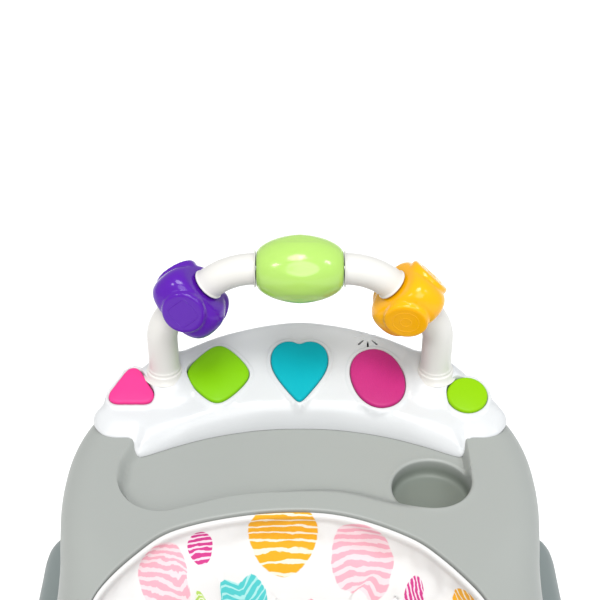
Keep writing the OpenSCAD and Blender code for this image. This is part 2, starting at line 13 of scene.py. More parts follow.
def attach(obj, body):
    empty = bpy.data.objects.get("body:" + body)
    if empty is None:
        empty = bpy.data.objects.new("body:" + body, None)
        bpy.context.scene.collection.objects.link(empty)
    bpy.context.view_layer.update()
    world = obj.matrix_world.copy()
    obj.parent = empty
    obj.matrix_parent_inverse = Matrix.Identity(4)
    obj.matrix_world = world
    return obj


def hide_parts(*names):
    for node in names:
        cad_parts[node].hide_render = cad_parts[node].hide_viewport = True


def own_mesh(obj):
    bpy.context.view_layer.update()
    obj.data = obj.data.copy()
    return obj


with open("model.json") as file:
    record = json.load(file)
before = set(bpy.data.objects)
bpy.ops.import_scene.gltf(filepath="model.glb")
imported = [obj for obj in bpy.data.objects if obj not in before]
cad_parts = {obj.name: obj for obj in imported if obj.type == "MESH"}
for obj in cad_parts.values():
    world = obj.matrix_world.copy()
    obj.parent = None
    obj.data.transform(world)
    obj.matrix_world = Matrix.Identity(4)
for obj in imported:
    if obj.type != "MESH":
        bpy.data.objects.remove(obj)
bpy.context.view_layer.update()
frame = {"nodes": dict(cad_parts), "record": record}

MM = 0.001
scene = bpy.context.scene
rng = np.random.RandomState(7)

# ------------------------------------------------------------------ camera
cam_data = bpy.data.cameras.new("view")
cam_data.lens = 81.0
cam_data.sensor_width = 36.0
cam_data.clip_end = 30.0
cam = bpy.data.objects.new("view", cam_data)
scene.collection.objects.link(cam)
cam.location = (0.0, -0.969229, 1.439054)
cam.rotation_euler = (math.radians(90 - 36.5), 0.0, 0.0)
scene.camera = cam

# ------------------------------------------------------------------ small tools
def both(h):
    """Mirrors a half outline given from the far middle round +X to the near middle."""
    return [list(p) for p in h] + [[-p[0], p[1]] for p in reversed(h) if abs(p[0]) > 1e-6]


def arr(p):
    return np.array(p, float)


def area2(p):
    p = arr(p)
    q = np.roll(p, -1, 0)
    return float(np.sum(p[:, 0] * q[:, 1] - q[:, 0] * p[:, 1])) / 2


def ccw(p):
    p = arr(p)
    return p if area2(p) > 0 else p[::-1].copy()


def rounded(p, step, alpha=0.5, sub=14):
    """Closed centripetal spline through p, walked evenly at about step."""
    p = arr(p)
    n = len(p)
    out = []
    for i in range(n):
        p0, p1, p2, p3 = p[i - 1], p[i], p[(i + 1) % n], p[(i + 2) % n]
        t0 = 0.0
        t1 = t0 + max(np.linalg.norm(p1 - p0), 1e-6) ** alpha
        t2 = t1 + max(np.linalg.norm(p2 - p1), 1e-6) ** alpha
        t3 = t2 + max(np.linalg.norm(p3 - p2), 1e-6) ** alpha
        for k in range(sub):
            t = t1 + (t2 - t1) * k / sub
            a1 = (t1 - t) / (t1 - t0) * p0 + (t - t0) / (t1 - t0) * p1
            a2 = (t2 - t) / (t2 - t1) * p1 + (t - t1) / (t2 - t1) * p2
            a3 = (t3 - t) / (t3 - t2) * p2 + (t - t2) / (t3 - t2) * p3
            b1 = (t2 - t) / (t2 - t0) * a1 + (t - t0) / (t2 - t0) * a2
            b2 = (t3 - t) / (t3 - t1) * a2 + (t - t1) / (t3 - t1) * a3
            out.append((t2 - t) / (t2 - t1) * b1 + (t - t1) / (t2 - t1) * b2)
    return even(np.array(out), step)


def even(p, step=None, n=None):
    """Closed polyline resampled at an even pitch."""
    q = np.vstack([p, p[:1]])
    s = np.r_[0, np.cumsum(np.linalg.norm(np.diff(q, axis=0), axis=1))]
    n = n or max(8, int(round(s[-1] / step)))
    t = np.linspace(0, s[-1], n, endpoint=False)
    return np.c_[np.interp(t, s, q[:, 0]), np.interp(t, s, q[:, 1])]


def offset(p, d):
    """Moves a counterclockwise outline inwards by d (outwards if negative), point for point."""
    p = arr(p)
    a, b = np.roll(p, 1, 0), np.roll(p, -1, 0)
    t = b - a
    t /= np.maximum(np.linalg.norm(t, axis=1), 1e-9)[:, None]
    nrm = np.c_[-t[:, 1], t[:, 0]]
    return p + nrm * d


def seg_dist(P, poly):
    """Distance of each point to a closed outline, and whether it is inside."""
    P, poly = arr(P), arr(poly)
    A, B = poly, np.roll(poly, -1, 0)
    best = np.full(len(P), 1e18)
    inside = np.zeros(len(P), bool)
    for s in range(0, len(P), 4000):
        Q = P[s:s + 4000]
        d = B - A
        w = Q[:, None, :] - A[None]
        t = np.clip((w * d[None]).sum(2) / np.maximum((d * d).sum(1), 1e-12)[None], 0, 1)
        e = w - t[..., None] * d[None]
        best[s:s + 4000] = np.sqrt((e * e).sum(2).min(1))
        y = Q[:, 1][:, None]
        c = (A[None, :, 1] > y) != (B[None, :, 1] > y)
        with np.errstate(divide="ignore", invalid="ignore"):
            x = A[None, :, 0] + (y - A[None, :, 1]) * d[None, :, 0] / np.where(d[None, :, 1] == 0, 1e-12, d[None, :, 1])
        inside[s:s + 4000] = (np.sum(c & (Q[:, 0][:, None] < x), 1) % 2) == 1
    return best, inside


def signed(P, poly):
    """Positive inside."""
    d, i = seg_dist(P, poly)
    return np.where(i, d, -d)


def smooth(t):
    t = np.clip(t, 0, 1)
    return t * t * (3 - 2 * t)


def far_from(P, loops, d):
    """True for each point that is more than d from every loop."""
    pts = np.vstack([even(lp, step=1.2) for lp in loops])
    tree = KDTree(len(pts))
    for i, q in enumerate(pts):
        tree.insert((q[0], q[1], 0.0), i)
    tree.balance()
    return np.array([tree.find((q[0], q[1], 0.0))[2] > d for q in P])


def sheet_cdt(outer, holes, loops, pitch, gap=0.6):
    """Triangulates the area between outer and holes, with the given extra closed loops and an even fill."""
    pts, edges = [], []
    for lp in [outer, *holes, *loops]:
        b = len(pts)
        pts += [tuple(q) for q in lp]
        edges += [(b + i, b + (i + 1) % len(lp)) for i in range(len(lp))]
    o = arr(outer)
    lo, hi = o.min(0), o.max(0)
    xs, ys = np.arange(lo[0], hi[0], pitch), np.arange(lo[1], hi[1], pitch * 0.866)
    g = np.array([(x + (pitch / 2 if j % 2 else 0), y) for j, y in enumerate(ys) for x in xs])
    g = g[signed(g, outer) > 0]
    g = g[far_from(g, [outer, *holes, *loops], pitch * gap)]
    pts += [tuple(q) for q in g]
    v, _, f, _, _, _ = delaunay_2d_cdt([Vector(p) for p in pts], edges, [], 0, 1e-5)
    v = np.array([tuple(a) for a in v])
    f = np.array([tuple(t) for t in f if len(t) == 3])
    c = v[f].mean(1)
    ok = signed(c, outer) > 0
    for h in holes:
        ok &= signed(c, h) < 0
    f = f[ok]
    n = (v[f[:, 1]] - v[f[:, 0]])
    m = (v[f[:, 2]] - v[f[:, 0]])
    cr = n[:, 0] * m[:, 1] - n[:, 1] * m[:, 0]
    f[cr < 0] = f[cr < 0][:, ::-1]
    return v, f


class Build:
    """Collects vertices in millimetres and faces, then makes one object."""
    def __init__(self):
        self.v, self.f, self.n = [], [], 0

    def add(self, v, f):
        v = arr(v)
        b = self.n
        self.v.append(v)
        self.f += [tuple(int(b + i) for i in t) for t in f]
        self.n += len(v)
        return b

    def grid(self, rings, close=True, cap0=False, cap1=False, flip=False):
        """Quads between equal rings of points; close joins each ring's ends."""
        rings = [arr(r) for r in rings]
        m = len(rings[0])
        b = self.n
        self.v.append(np.vstack(rings))
        self.n += m * len(rings)
        for i in range(len(rings) - 1):
            for j in range(m if close else m - 1):
                k = (j + 1) % m
                q = (b + i * m + j, b + i * m + k, b + (i + 1) * m + k, b + (i + 1) * m + j)
                self.f.append(q[::-1] if flip else q)
        for on, r, rev in ((cap0, 0, True), (cap1, len(rings) - 1, False)):
            if on:
                c = self.n
                self.v.append(rings[r].mean(0)[None])
                self.n += 1
                for j in range(m):
                    t = (b + r * m + j, b + r * m + (j + 1) % m, c)
                    self.f.append(t[::-1] if rev != flip else t)
        return b

    def make(self, name, angle=38, weld=0.02):
        me = bpy.data.meshes.new(name)
        me.from_pydata((np.vstack(self.v) * MM).tolist(), [], self.f)
        bm = bmesh.new()
        bm.from_mesh(me)
        bmesh.ops.remove_doubles(bm, verts=bm.verts, dist=weld * MM)
        loose = [v for v in bm.verts if not v.link_faces]
        bmesh.ops.delete(bm, geom=loose, context="VERTS")
        bmesh.ops.recalc_face_normals(bm, faces=bm.faces)
        bm.to_mesh(me)
        bm.free()
        me.shade_smooth()
        if angle:
            me.set_sharp_from_angle(angle=math.radians(angle))
        ob = bpy.data.objects.new(name, me)
        scene.collection.objects.link(ob)
        return ob


def finish_piece(ob, body, slot, mat, *nodes):
    ob.data.materials.clear()
    ob.data.materials.append(mat)
    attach(ob, body)
    if nodes:
        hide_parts(*nodes)
    return ob


def baked(ob):
    """Applies the modifiers, so the mesh is final."""
    dg = bpy.context.evaluated_depsgraph_get()
    me = bpy.data.meshes.new_from_object(ob.evaluated_get(dg))
    old = ob.data
    ob.modifiers.clear()
    ob.data = me
    bpy.data.meshes.remove(old)
    return ob


def solidify(ob, mm, off=-1.0):
    m = ob.modifiers.new("wall", "SOLIDIFY")
    m.thickness = mm * MM
    m.offset = off
    m.use_even_offset = False
    return baked(ob)


# ------------------------------------------------------------------ materials
def nodes_of(name):
    m = bpy.data.materials.new(name)
    m.use_nodes = True
    t = m.node_tree
    for n in list(t.nodes):
        if n.type not in ("BSDF_PRINCIPLED", "OUTPUT_MATERIAL"):
            t.nodes.remove(n)
    b = [n for n in t.nodes if n.type == "BSDF_PRINCIPLED"][0]
    return m, t, b


def N(t, kind, **kw):
    n = t.nodes.new(kind)
    for k, v in kw.items():
        if k in n.inputs:
            n.inputs[k].default_value = v
        else:
            setattr(n, k, v)
    return n


def L(t, a, b):
    t.links.new(a, b)


def noise(t, co, scale, detail=2.0, rough=0.5, dist=0.0):
    n = N(t, "ShaderNodeTexNoise")
    n.inputs["Scale"].default_value = scale
    n.inputs["Detail"].default_value = detail
    n.inputs["Roughness"].default_value = rough
    n.inputs["Distortion"].default_value = dist
    L(t, co, n.inputs["Vector"])
    return n


def math_node(t, op, a, b=None, c=None, clamp=False):
    n = N(t, "ShaderNodeMath", operation=op)
    n.use_clamp = clamp
    for i, x in enumerate((a, b, c)):
        if x is None:
            continue
        if hasattr(x, "is_linked") or hasattr(x, "links"):
            L(t, x, n.inputs[i])
        else:
            n.inputs[i].default_value = x
    return n.outputs[0]


def ramp(t, fac, stops, interp="LINEAR"):
    r = N(t, "ShaderNodeValToRGB")
    r.color_ramp.interpolation = interp
    e = r.color_ramp.elements
    while len(e) < len(stops):
        e.new(0.5)
    for i, (p, c) in enumerate(stops):
        e[i].position = p
        e[i].color = (*c[:3], 1.0)
    L(t, fac, r.inputs["Fac"])
    return r.outputs["Color"]


DIM = 0.64


def dimmed(c, k=None):
    k = DIM if k is None else k
    return tuple(x * k for x in c[:3])


def plastic(name, col, col2=None, rough=0.38, spread=0.05, grain=0.03, grain_scale=1500.0,
            coat=0.0, coat_rough=0.1, sss=0.0, cloud=5.0, ior=1.48, spec=0.3, dirt=0.0, dirt_col=(0.3, 0.29, 0.27), dim=None, drift=0.975, flow=0.008):
    """Moulded plastic: slow drift of colour, fine mould texture, uneven gloss and faint flow marks."""
    m, t, b = nodes_of(name)
    co = N(t, "ShaderNodeTexCoord").outputs["Object"]
    col2 = tuple(min(1, c * drift) for c in col)
    col, col2 = dimmed(col, dim), dimmed(col2, dim)
    slow = noise(t, co, cloud, 1.0, 0.4, 0.0)
    base = ramp(t, slow.outputs["Fac"], [(0.3, col), (0.72, col2)])
    if dirt:
        d = noise(t, co, 60.0, 6.0, 0.7, 1.2)
        mask = ramp(t, d.outputs["Fac"], [(0.58, (0, 0, 0)), (0.78, (dirt, dirt, dirt))])
        mx = N(t, "ShaderNodeMix", data_type="RGBA")
        L(t, mask, mx.inputs[0])
        L(t, base, mx.inputs[6])
        mx.inputs[7].default_value = (*dirt_col, 1)
        base = mx.outputs[2]
    L(t, base, b.inputs["Base Color"])
    fine = noise(t, co, grain_scale, 2.0, 0.6)
    mid = noise(t, co, 45.0, 4.0, 0.6, 0.6)
    r = N(t, "ShaderNodeMapRange")
    r.inputs["To Min"].default_value = max(0.02, rough - spread)
    r.inputs["To Max"].default_value = rough + spread
    L(t, mid.outputs["Fac"], r.inputs["Value"])
    L(t, r.outputs["Result"], b.inputs["Roughness"])
    bp = N(t, "ShaderNodeBump")
    bp.inputs["Strength"].default_value = grain
    bp.inputs["Distance"].default_value = 0.0004
    L(t, fine.outputs["Fac"], bp.inputs["Height"])
    bp2 = N(t, "ShaderNodeBump")
    bp2.inputs["Strength"].default_value = flow
    bp2.inputs["Distance"].default_value = 0.002
    L(t, slow.outputs["Fac"], bp2.inputs["Height"])
    L(t, bp.outputs["Normal"], bp2.inputs["Normal"])
    L(t, bp2.outputs["Normal"], b.inputs["Normal"])
    b.inputs["IOR"].default_value = ior
    b.inputs["Specular IOR Level"].default_value = spec
    if coat:
        b.inputs["Coat Weight"].default_value = coat
        b.inputs["Coat Roughness"].default_value = coat_rough
    if sss:
        b.inputs["Subsurface Weight"].default_value = sss
        b.inputs["Subsurface Radius"].default_value = (0.9, 0.9, 0.9)
        b.inputs["Subsurface Scale"].default_value = 0.004
    return m


def lin(r, g, b):
    """sRGB 0..255 to linear."""
    return tuple(((c / 255) / 12.92 if c / 255 <= 0.04045 else ((c / 255 + 0.055) / 1.055) ** 2.4) for c in (r, g, b))


def metal(name, col, rough=0.3, aniso_scale=(40, 40, 900), metallic=1.0, scratch=0.06):
    m, t, b = nodes_of(name)
    tc = N(t, "ShaderNodeTexCoord")
    mp = N(t, "ShaderNodeMapping")
    mp.inputs["Scale"].default_value = aniso_scale
    L(t, tc.outputs["Object"], mp.inputs["Vector"])
    n1 = noise(t, mp.outputs["Vector"], 1.0, 5.0, 0.65, 0.2)
    n2 = noise(t, tc.outputs["Object"], 55.0, 4.0, 0.6, 0.8)
    base = ramp(t, n2.outputs["Fac"], [(0.3, col), (0.75, tuple(c * 0.82 for c in col))])
    L(t, base, b.inputs["Base Color"])
    b.inputs["Metallic"].default_value = metallic
    r = N(t, "ShaderNodeMapRange")
    r.inputs["To Min"].default_value = max(0.05, rough - 0.09)
    r.inputs["To Max"].default_value = rough + 0.12
    L(t, n1.outputs["Fac"], r.inputs["Value"])
    L(t, r.outputs["Result"], b.inputs["Roughness"])
    bp = N(t, "ShaderNodeBump")
    bp.inputs["Strength"].default_value = scratch
    bp.inputs["Distance"].default_value = 0.0003
    L(t, n1.outputs["Fac"], bp.inputs["Height"])
    L(t, bp.outputs["Normal"], b.inputs["Normal"])
    return m


M = {}
M["tray"] = plastic("tray_grey", lin(186, 190, 186), rough=0.42, spread=0.05, grain=0.05, grain_scale=1300, spec=0.3, dim=0.56)
M["base"] = plastic("base_grey", lin(142, 152, 151), rough=0.44, spread=0.06, grain=0.07, grain_scale=1100, dirt=0.10, dim=0.62)
M["white"] = plastic("white_gloss", lin(244, 246, 248), rough=0.30, spread=0.04, grain=0.015, grain_scale=1400, coat=0.15, coat_rough=0.15, sss=0.08, dim=0.545)
M["bar_white"] = plastic("bar_white", lin(245, 243, 238), rough=0.32, spread=0.04, grain=0.02, grain_scale=1400, coat=0.06, coat_rough=0.25, sss=0.08, dim=0.60)
M["paint"] = plastic("powder_white", lin(238, 238, 239), rough=0.36, spread=0.06, grain=0.16, grain_scale=700, dirt=0.08, dim=0.78)
M["steel"] = metal("zinc_steel", (0.62, 0.63, 0.65), 0.30)
M["rubber"] = plastic("grip_black", lin(44, 45, 47), rough=0.72, spread=0.1, grain=0.3, grain_scale=500, spec=0.3, dirt=0.25, dirt_col=(0.12, 0.115, 0.11))
M["wheel"] = plastic("wheel_grey", lin(66, 68, 71), rough=0.5, spread=0.1, grain=0.12, grain_scale=800, dirt=0.3, dirt_col=(0.16, 0.15, 0.14))
M["black"] = plastic("black_satin", lin(30, 30, 32), rough=0.5, spread=0.08, grain=0.1, grain_scale=900)
M["pink"] = plastic("button_pink", lin(252, 62, 150), rough=0.42, grain=0.05, sss=0.05, spec=0.2, dim=0.62)
M["green"] = plastic("button_green", lin(140, 214, 2), rough=0.40, grain=0.04, coat=0.03, coat_rough=0.25, sss=0.0, spec=0.15, dim=0.61)
M["teal"] = plastic("button_teal", lin(0, 186, 200), rough=0.46, grain=0.04, sss=0.0, spec=0.10, dim=0.60)
M["magenta"] = plastic("button_magenta", lin(212, 46, 134), rough=0.42, grain=0.05, sss=0.04, spec=0.2, dim=0.56)
M["lime"] = plastic("button_lime", lin(154, 218, 0), rough=0.42, grain=0.04, coat=0.03, coat_rough=0.25, sss=0.0, spec=0.12, dim=0.60)
M["purple"] = plastic("gloss_purple", lin(98, 26, 184), rough=0.20, spread=0.03, grain=0.008, coat=0.22, coat_rough=0.05, spec=0.2, dim=0.58)
M["orange"] = plastic("gloss_orange", lin(255, 182, 0), rough=0.20, spread=0.03, grain=0.008, coat=0.22, coat_rough=0.05, sss=0.0, spec=0.18, dim=0.70)
M["barrel"] = plastic("gloss_lime_clear", lin(188, 232, 112), rough=0.18, spread=0.03, grain=0.008, coat=0.3, coat_rough=0.05, sss=0.25, spec=0.35, dim=0.63)
def paint_cup_shade(mat):
    """Painted shade: multiplies the tray's colour darker down inside the cup, the deeper the darker."""
    t = mat.node_tree
    b = [n for n in t.nodes if n.type == "BSDF_PRINCIPLED"][0]
    src = b.inputs["Base Color"].links[0].from_socket
    co = N(t, "ShaderNodeTexCoord").outputs["Object"]
    sp = N(t, "ShaderNodeSeparateXYZ")
    L(t, co, sp.inputs[0])
    dx = math_node(t, "SUBTRACT", sp.outputs[0], 0.145)
    dy = math_node(t, "SUBTRACT", sp.outputs[1], 0.106)
    r2 = math_node(t, "ADD", math_node(t, "MULTIPLY", dx, dx), math_node(t, "MULTIPLY", dy, dy))
    ins = math_node(t, "LESS_THAN", r2, 0.0440 ** 2)
    dep = N(t, "ShaderNodeMapRange")
    dep.inputs["From Min"].default_value = 0.386
    dep.inputs["From Max"].default_value = 0.372
    L(t, sp.outputs[2], dep.inputs["Value"])
    f = math_node(t, "MULTIPLY", ins, dep.outputs["Result"])
    mx = N(t, "ShaderNodeMix", data_type="RGBA", blend_type="MULTIPLY")
    L(t, f, mx.inputs[0])
    L(t, src, mx.inputs[6])
    # painted shade colour multiplied in at the bottom of the cup
    mx.inputs[7].default_value = (0.56, 0.60, 0.55, 1)
    L(t, mx.outputs[2], b.inputs["Base Color"])


# painted shade inside the tray's cup
paint_cup_shade(M["tray"])
M["cell"] = metal("cell_foil", lin(60, 110, 160), 0.34, (60, 900, 60), 0.6)
M["board"] = plastic("board_green", lin(28, 96, 58), lin(22, 80, 46), rough=0.35, grain=0.15, grain_scale=420)
M["membrane"] = plastic("silicone", lin(196, 198, 204), lin(186, 188, 196), rough=0.55, grain=0.05, sss=0.3)
CAD_MAT = {"base_plastic": "base", "tray_plastic": "tray", "white_plastic": "white", "frame_paint": "paint", "steel": "steel",
           "grip_rubber": "rubber", "wheel_plastic": "wheel", "black_plastic": "black", "seat_print": "white", "battery_case": "cell",
           "board": "board", "membrane_rubber": "membrane", "pink_plastic": "pink", "green_plastic": "green", "teal_plastic": "teal",
           "magenta_plastic": "magenta", "lime_plastic": "lime", "purple_plastic": "purple", "orange_plastic": "orange", "barrel_plastic": "barrel"}

# ------------------------------------------------------------------ outlines shared with the frame
TRAY = ccw(rounded(both([[0, 350], [74, 338], [140, 311], [186, 284], [212, 262], [232, 236], [246, 208], [254, 184], [260, 152], [262, 118],
                         [261, 80], [256, 35], [251.5, 0], [249, -50], [249, -110], [246, -170], [237, -225], [217, -268], [185, -300],
                         [140, -322], [80, -333], [0, -337]]), 5.0))
HOLE = ccw(rounded([[30, 57], [64, 48], [97, 33], [127, 14], [148, -8], [166, -31], [184, -59], [197, -95], [202, -140], [198, -190], [180, -235],
                    [145, -268], [90, -287], [0, -293], [-90, -287], [-145, -268], [-182, -235], [-202, -190], [-210, -140], [-211, -95],
                    [-208, -62], [-196, -36], [-172, -3], [-145, 25], [-114, 40], [-60, 54], [-10, 59]], 4.0))
RECESS = ccw(rounded([[188, 230], [189, 200], [189.5, 165], [190, 120], [187.5, 95], [177, 73], [160, 61.5], [144, 59], [115, 60], [92, 66], [62, 77],
                      [32, 83.7], [-23, 84.6], [-75, 78], [-115, 65], [-145, 56], [-162, 57.5], [-180, 66.5], [-194, 84], [-201, 104], [-203.5, 120],
                      [-202, 138], [-197, 152], [-193, 165], [-190, 200], [-188, 230], [-150, 238], [150, 238]], 4.0))
CON = ccw(rounded(both([[0, 343], [40, 338.5], [72, 331], [105, 320], [136, 305], [160, 293], [181, 280], [205, 260], [222, 238], [233, 218], [238.5, 204],
                        [237, 194], [231.5, 183.5], [225, 176.5], [213, 172], [197, 171.5], [193, 170.5], [189.6, 166], [187.5, 159], [184, 154], [178, 154.5],
                        [142, 171], [109, 184], [77, 193], [40, 199.5], [0, 201.5]]), 3.0))
BASE_O = ccw(rounded(both([[0, 355], [80, 354], [160, 350], [235, 341], [285, 331], [312, 322], [328, 311], [336, 297], [339.5, 278], [340, 240],
                           [340, 120], [340, 0], [340, -100], [340, -180], [337, -240], [326, -290], [303, -327], [262, -347], [200, -354],
                           [120, -355], [0, -355]]), 6.0))
BASE_I = ccw(rounded(both([[0, 268], [70, 264], [130, 251], [165, 226], [178, 190], [180, 100], [180, 0], [180, -100], [180, -190], [172, -235],
                           [145, -258], [90, -268], [0, -270]]), 6.0))
CUP = (145.0, 106.0)
CUP_R = 43.5
FLOOR = 386.0


def circle(c, r, n):
    a = np.arange(n) * 2 * math.pi / n
    return np.c_[c[0] + r * np.cos(a), c[1] + r * np.sin(a)]


# ------------------------------------------------------------------ tray top
def tray_height(P):
    x, y = P[:, 0], P[:, 1]
    do = np.maximum(signed(P, TRAY), 0)
    z = np.full(len(P), 400.0)
    # the long soft shoulder towards the rear, with its faint crease
    w = 34 + 40 * smooth((70 - y) / 150)
    fall = 9.0 * smooth((60 - y) / 110)
    t = np.clip(1 - do / w, 0, 1)
    z -= fall * t * (0.55 + 0.45 * t)
    R, H = 34.0, 27.0
    u = np.clip(1 - do / R, 0, 1)
    z -= H * (1 - np.sqrt(np.maximum(1 - u * u, 0)))
    # snack recess
    dr = signed(P, RECESS)
    side = smooth((x + 95) / 150)
    near = smooth((118 - y) / 26)
    wid = 15.0 + near * (-6.5 + 15.5 * side)
    right = smooth((x - 150) / 30)
    wid = wid * (1 - right) + 7.0 * right
    t = np.clip(dr / wid, 0, 1)
    crisp = near * (1 - side) * (1 - right)
    s = smooth(t)
    c = 1 - (1 - t) ** 2.0
    prof = s * (1 - 0.8 * crisp) + c * 0.8 * crisp
    z -= (400.0 - FLOOR) * prof
    # soft rounding where the deck meets the crisp rim and the seat opening
    dh = -signed(P, HOLE)
    e = np.clip(1 - dh / 2.0, 0, 1)
    z -= 1.9 * (1 - np.sqrt(np.maximum(1 - e * e, 0)))
    # lip round the cup
    dc = np.hypot(x - CUP[0], y - CUP[1]) - CUP_R
    e = np.clip(1 - dc / 2.6, 0, 1)
    z -= 2.4 * (1 - np.sqrt(np.maximum(1 - e * e, 0)))
    z += 0.55 * np.exp(-((dc - 3.4) / 1.8) ** 2)
    return z


def make_tray():
    B = Build()
    outer_l = [offset(TRAY, d) for d in (0, 0.5, 1.8, 4, 7, 11, 16, 22, 29, 36)]
    hole_l = [offset(HOLE, -d) for d in (0.15, 0.6, 1.3, 2.2, 3.2, 5)]
    rec_l = [offset(RECESS, d) for d in (-1.5, 0, 1.2, 2.6, 4.4, 6.5)]
    hole0 = offset(HOLE, 0)
    cup0 = circle(CUP, CUP_R, 96)
    cup_l = [circle(CUP, CUP_R + d, 96) for d in (0.2, 0.7, 1.5, 2.6, 3.6, 5)]
    # the recess loops would cross the cup's, so they stop short of it
    def clear(lp):
        d = np.hypot(lp[:, 0] - CUP[0], lp[:, 1] - CUP[1]) - CUP_R
        return d.min() > 5.5
    pts_extra = []
    loops = outer_l[1:] + hole_l + cup_l
    free = []
    for lp in rec_l:
        d = np.hypot(lp[:, 0] - CUP[0], lp[:, 1] - CUP[1]) - CUP_R
        h = -signed(lp, HOLE)
        free.append(lp[(d > 6.2) & (h > 6.0)])
    P, F = sheet_cdt_points(outer_l[0], [hole0, cup0], loops, free, 5.0)
    z = tray_height(P)
    B.add(np.c_[P, z], F)
    # outer skirt with a small turned-in hem
    base = tray_height(TRAY)
    sk = [np.c_[TRAY, base], np.c_[TRAY, 0.5 * base + 0.5 * 350], np.c_[TRAY, np.full(len(TRAY), 349.0)],
          np.c_[offset(TRAY, 0.6), np.full(len(TRAY), 346.2)], np.c_[offset(TRAY, 1.8), np.full(len(TRAY), 345.2)],
          np.c_[offset(TRAY, 3.4), np.full(len(TRAY), 345.4)]]
    B.grid(sk, flip=True)
    # opening lip
    zh = tray_height(hole0)
    B.grid([np.c_[hole0, zh], np.c_[hole0, zh * 0.5 + 0.5 * 393.5], np.c_[hole0, np.full(len(hole0), 393.5)],
            np.c_[offset(HOLE, -0.5), np.full(len(hole0), 392.4)], np.c_[offset(HOLE, -1.8), np.full(len(hole0), 392.0)],
            np.c_[offset(HOLE, -14), np.full(len(hole0), 392.0)]])
    # cup well
    zc = tray_height(cup0)
    rings = [np.c_[cup0, zc]]
    for r, z1 in ((43.45, 381), (43.3, 374), (43.1, 369), (42.4, 366.2), (41.0, 364.4), (39.0, 363.5), (36.5, 363.2), (25, 363.0), (12, 362.9)):
        q = circle(CUP, r, 96)
        rings.append(np.c_[q, np.full(len(q), z1)])
    B.grid(rings, cap1=True)
    ob = B.make("tray_top_shell", 42)
    return ob


def sheet_cdt_points(outer, holes, loops, free, pitch, gap=0.6):
    """As sheet_cdt, with rows of free points that have no edge between them."""
    pts, edges = [], []
    for lp in [outer, *holes, *loops]:
        b = len(pts)
        pts += [tuple(q) for q in lp]
        edges += [(b + i, b + (i + 1) % len(lp)) for i in range(len(lp))]
    o = arr(outer)
    fr = np.vstack([f for f in free if len(f)]) if free else np.zeros((0, 2))
    if len(fr):
        ok = signed(fr, outer) > pitch * 0.3
        for h in holes:
            ok &= signed(fr, h) < -pitch * 0.3
        if loops:
            ok &= far_from(fr, loops, 1.0)
        fr = fr[ok]
        pts += [tuple(q) for q in fr]
    lo, hi = o.min(0), o.max(0)
    xs, ys = np.arange(lo[0], hi[0], pitch), np.arange(lo[1], hi[1], pitch * 0.866)
    g = np.array([(x + (pitch / 2 if j % 2 else 0), y) for j, y in enumerate(ys) for x in xs])
    g = g[signed(g, outer) > 0]
    keep = far_from(g, [outer, *holes, *loops], pitch * gap)
    if len(fr):
        cell = {}
        for q in fr:
            cell.setdefault((int(q[0] // pitch), int(q[1] // pitch)), []).append(q)
        for i, q in enumerate(g):
            if not keep[i]:
                continue
            cx, cy = int(q[0] // pitch), int(q[1] // pitch)
            for a in (-1, 0, 1):
                for b in (-1, 0, 1):
                    for s in cell.get((cx + a, cy + b), ()):
                        if (s[0] - q[0]) ** 2 + (s[1] - q[1]) ** 2 < (pitch * gap) ** 2:
                            keep[i] = False
    pts += [tuple(q) for q in g[keep]]
    v, _, f, _, _, _ = delaunay_2d_cdt([Vector(p) for p in pts], edges, [], 0, 1e-5)
    v = np.array([tuple(a) for a in v])
    f = np.array([tuple(t) for t in f if len(t) == 3])
    c = v[f].mean(1)
    ok = signed(c, outer) > 0
    for h in holes:
        ok &= signed(c, h) < 0
    f = f[ok]
    n = (v[f[:, 1]] - v[f[:, 0]])
    m = (v[f[:, 2]] - v[f[:, 0]])
    cr = n[:, 0] * m[:, 1] - n[:, 1] * m[:, 0]
    f[cr < 0] = f[cr < 0][:, ::-1]
    return v, f


tray = make_tray()
solidify(tray, 2.6)
finish_piece(tray, "tray", "tray_plastic", M["tray"], "tray_top")

# ------------------------------------------------------------------ console
TILT = math.radians(17.5)
CT, ST = math.cos(TILT), math.sin(TILT)


def face_to_world(p):
    """Face coordinates (x, y, z off the face) to the row frame."""
    p = arr(p)
    return np.c_[p[:, 0], 165 + p[:, 1] * CT - p[:, 2] * ST, 404 + p[:, 1] * ST + p[:, 2] * CT]


def face_plan(p, z=0.0):
    q = face_to_world(np.c_[arr(p), np.full(len(p), z)])
    return q[:, :2]


def blob(c, a, b, e, n=96):
    t = np.arange(n) * 2 * math.pi / n
    cs, sn = np.cos(t), np.sin(t)
    return np.c_[c[0] + a * np.sign(cs) * np.abs(cs) ** (2 / e), c[1] + b * np.sign(sn) * np.abs(sn) ** (2 / e)]


def turned(p, c, deg):
    a = math.radians(deg)
    q = arr(p) - arr(c)
    return np.c_[q[:, 0] * math.cos(a) - q[:, 1] * math.sin(a), q[:, 0] * math.sin(a) + q[:, 1] * math.cos(a)] + arr(c)


def tri_outline(c):
    a = np.arange(120) * 2 * math.pi / 120
    r = 23.5 + 4.6 * np.cos(3 * (a - math.pi / 2)) + 0.8 * np.cos(6 * (a - math.pi / 2))
    return np.c_[c[0] + r * np.cos(a), c[1] + r * np.sin(a)]


def softened(p, k):
    """Rounds the corners of a closed outline by running averages."""
    p = even(p, n=480)
    for _ in range(3):
        p = sum(np.roll(p, j, 0) for j in range(-k, k + 1)) / (2 * k + 1)
    return p


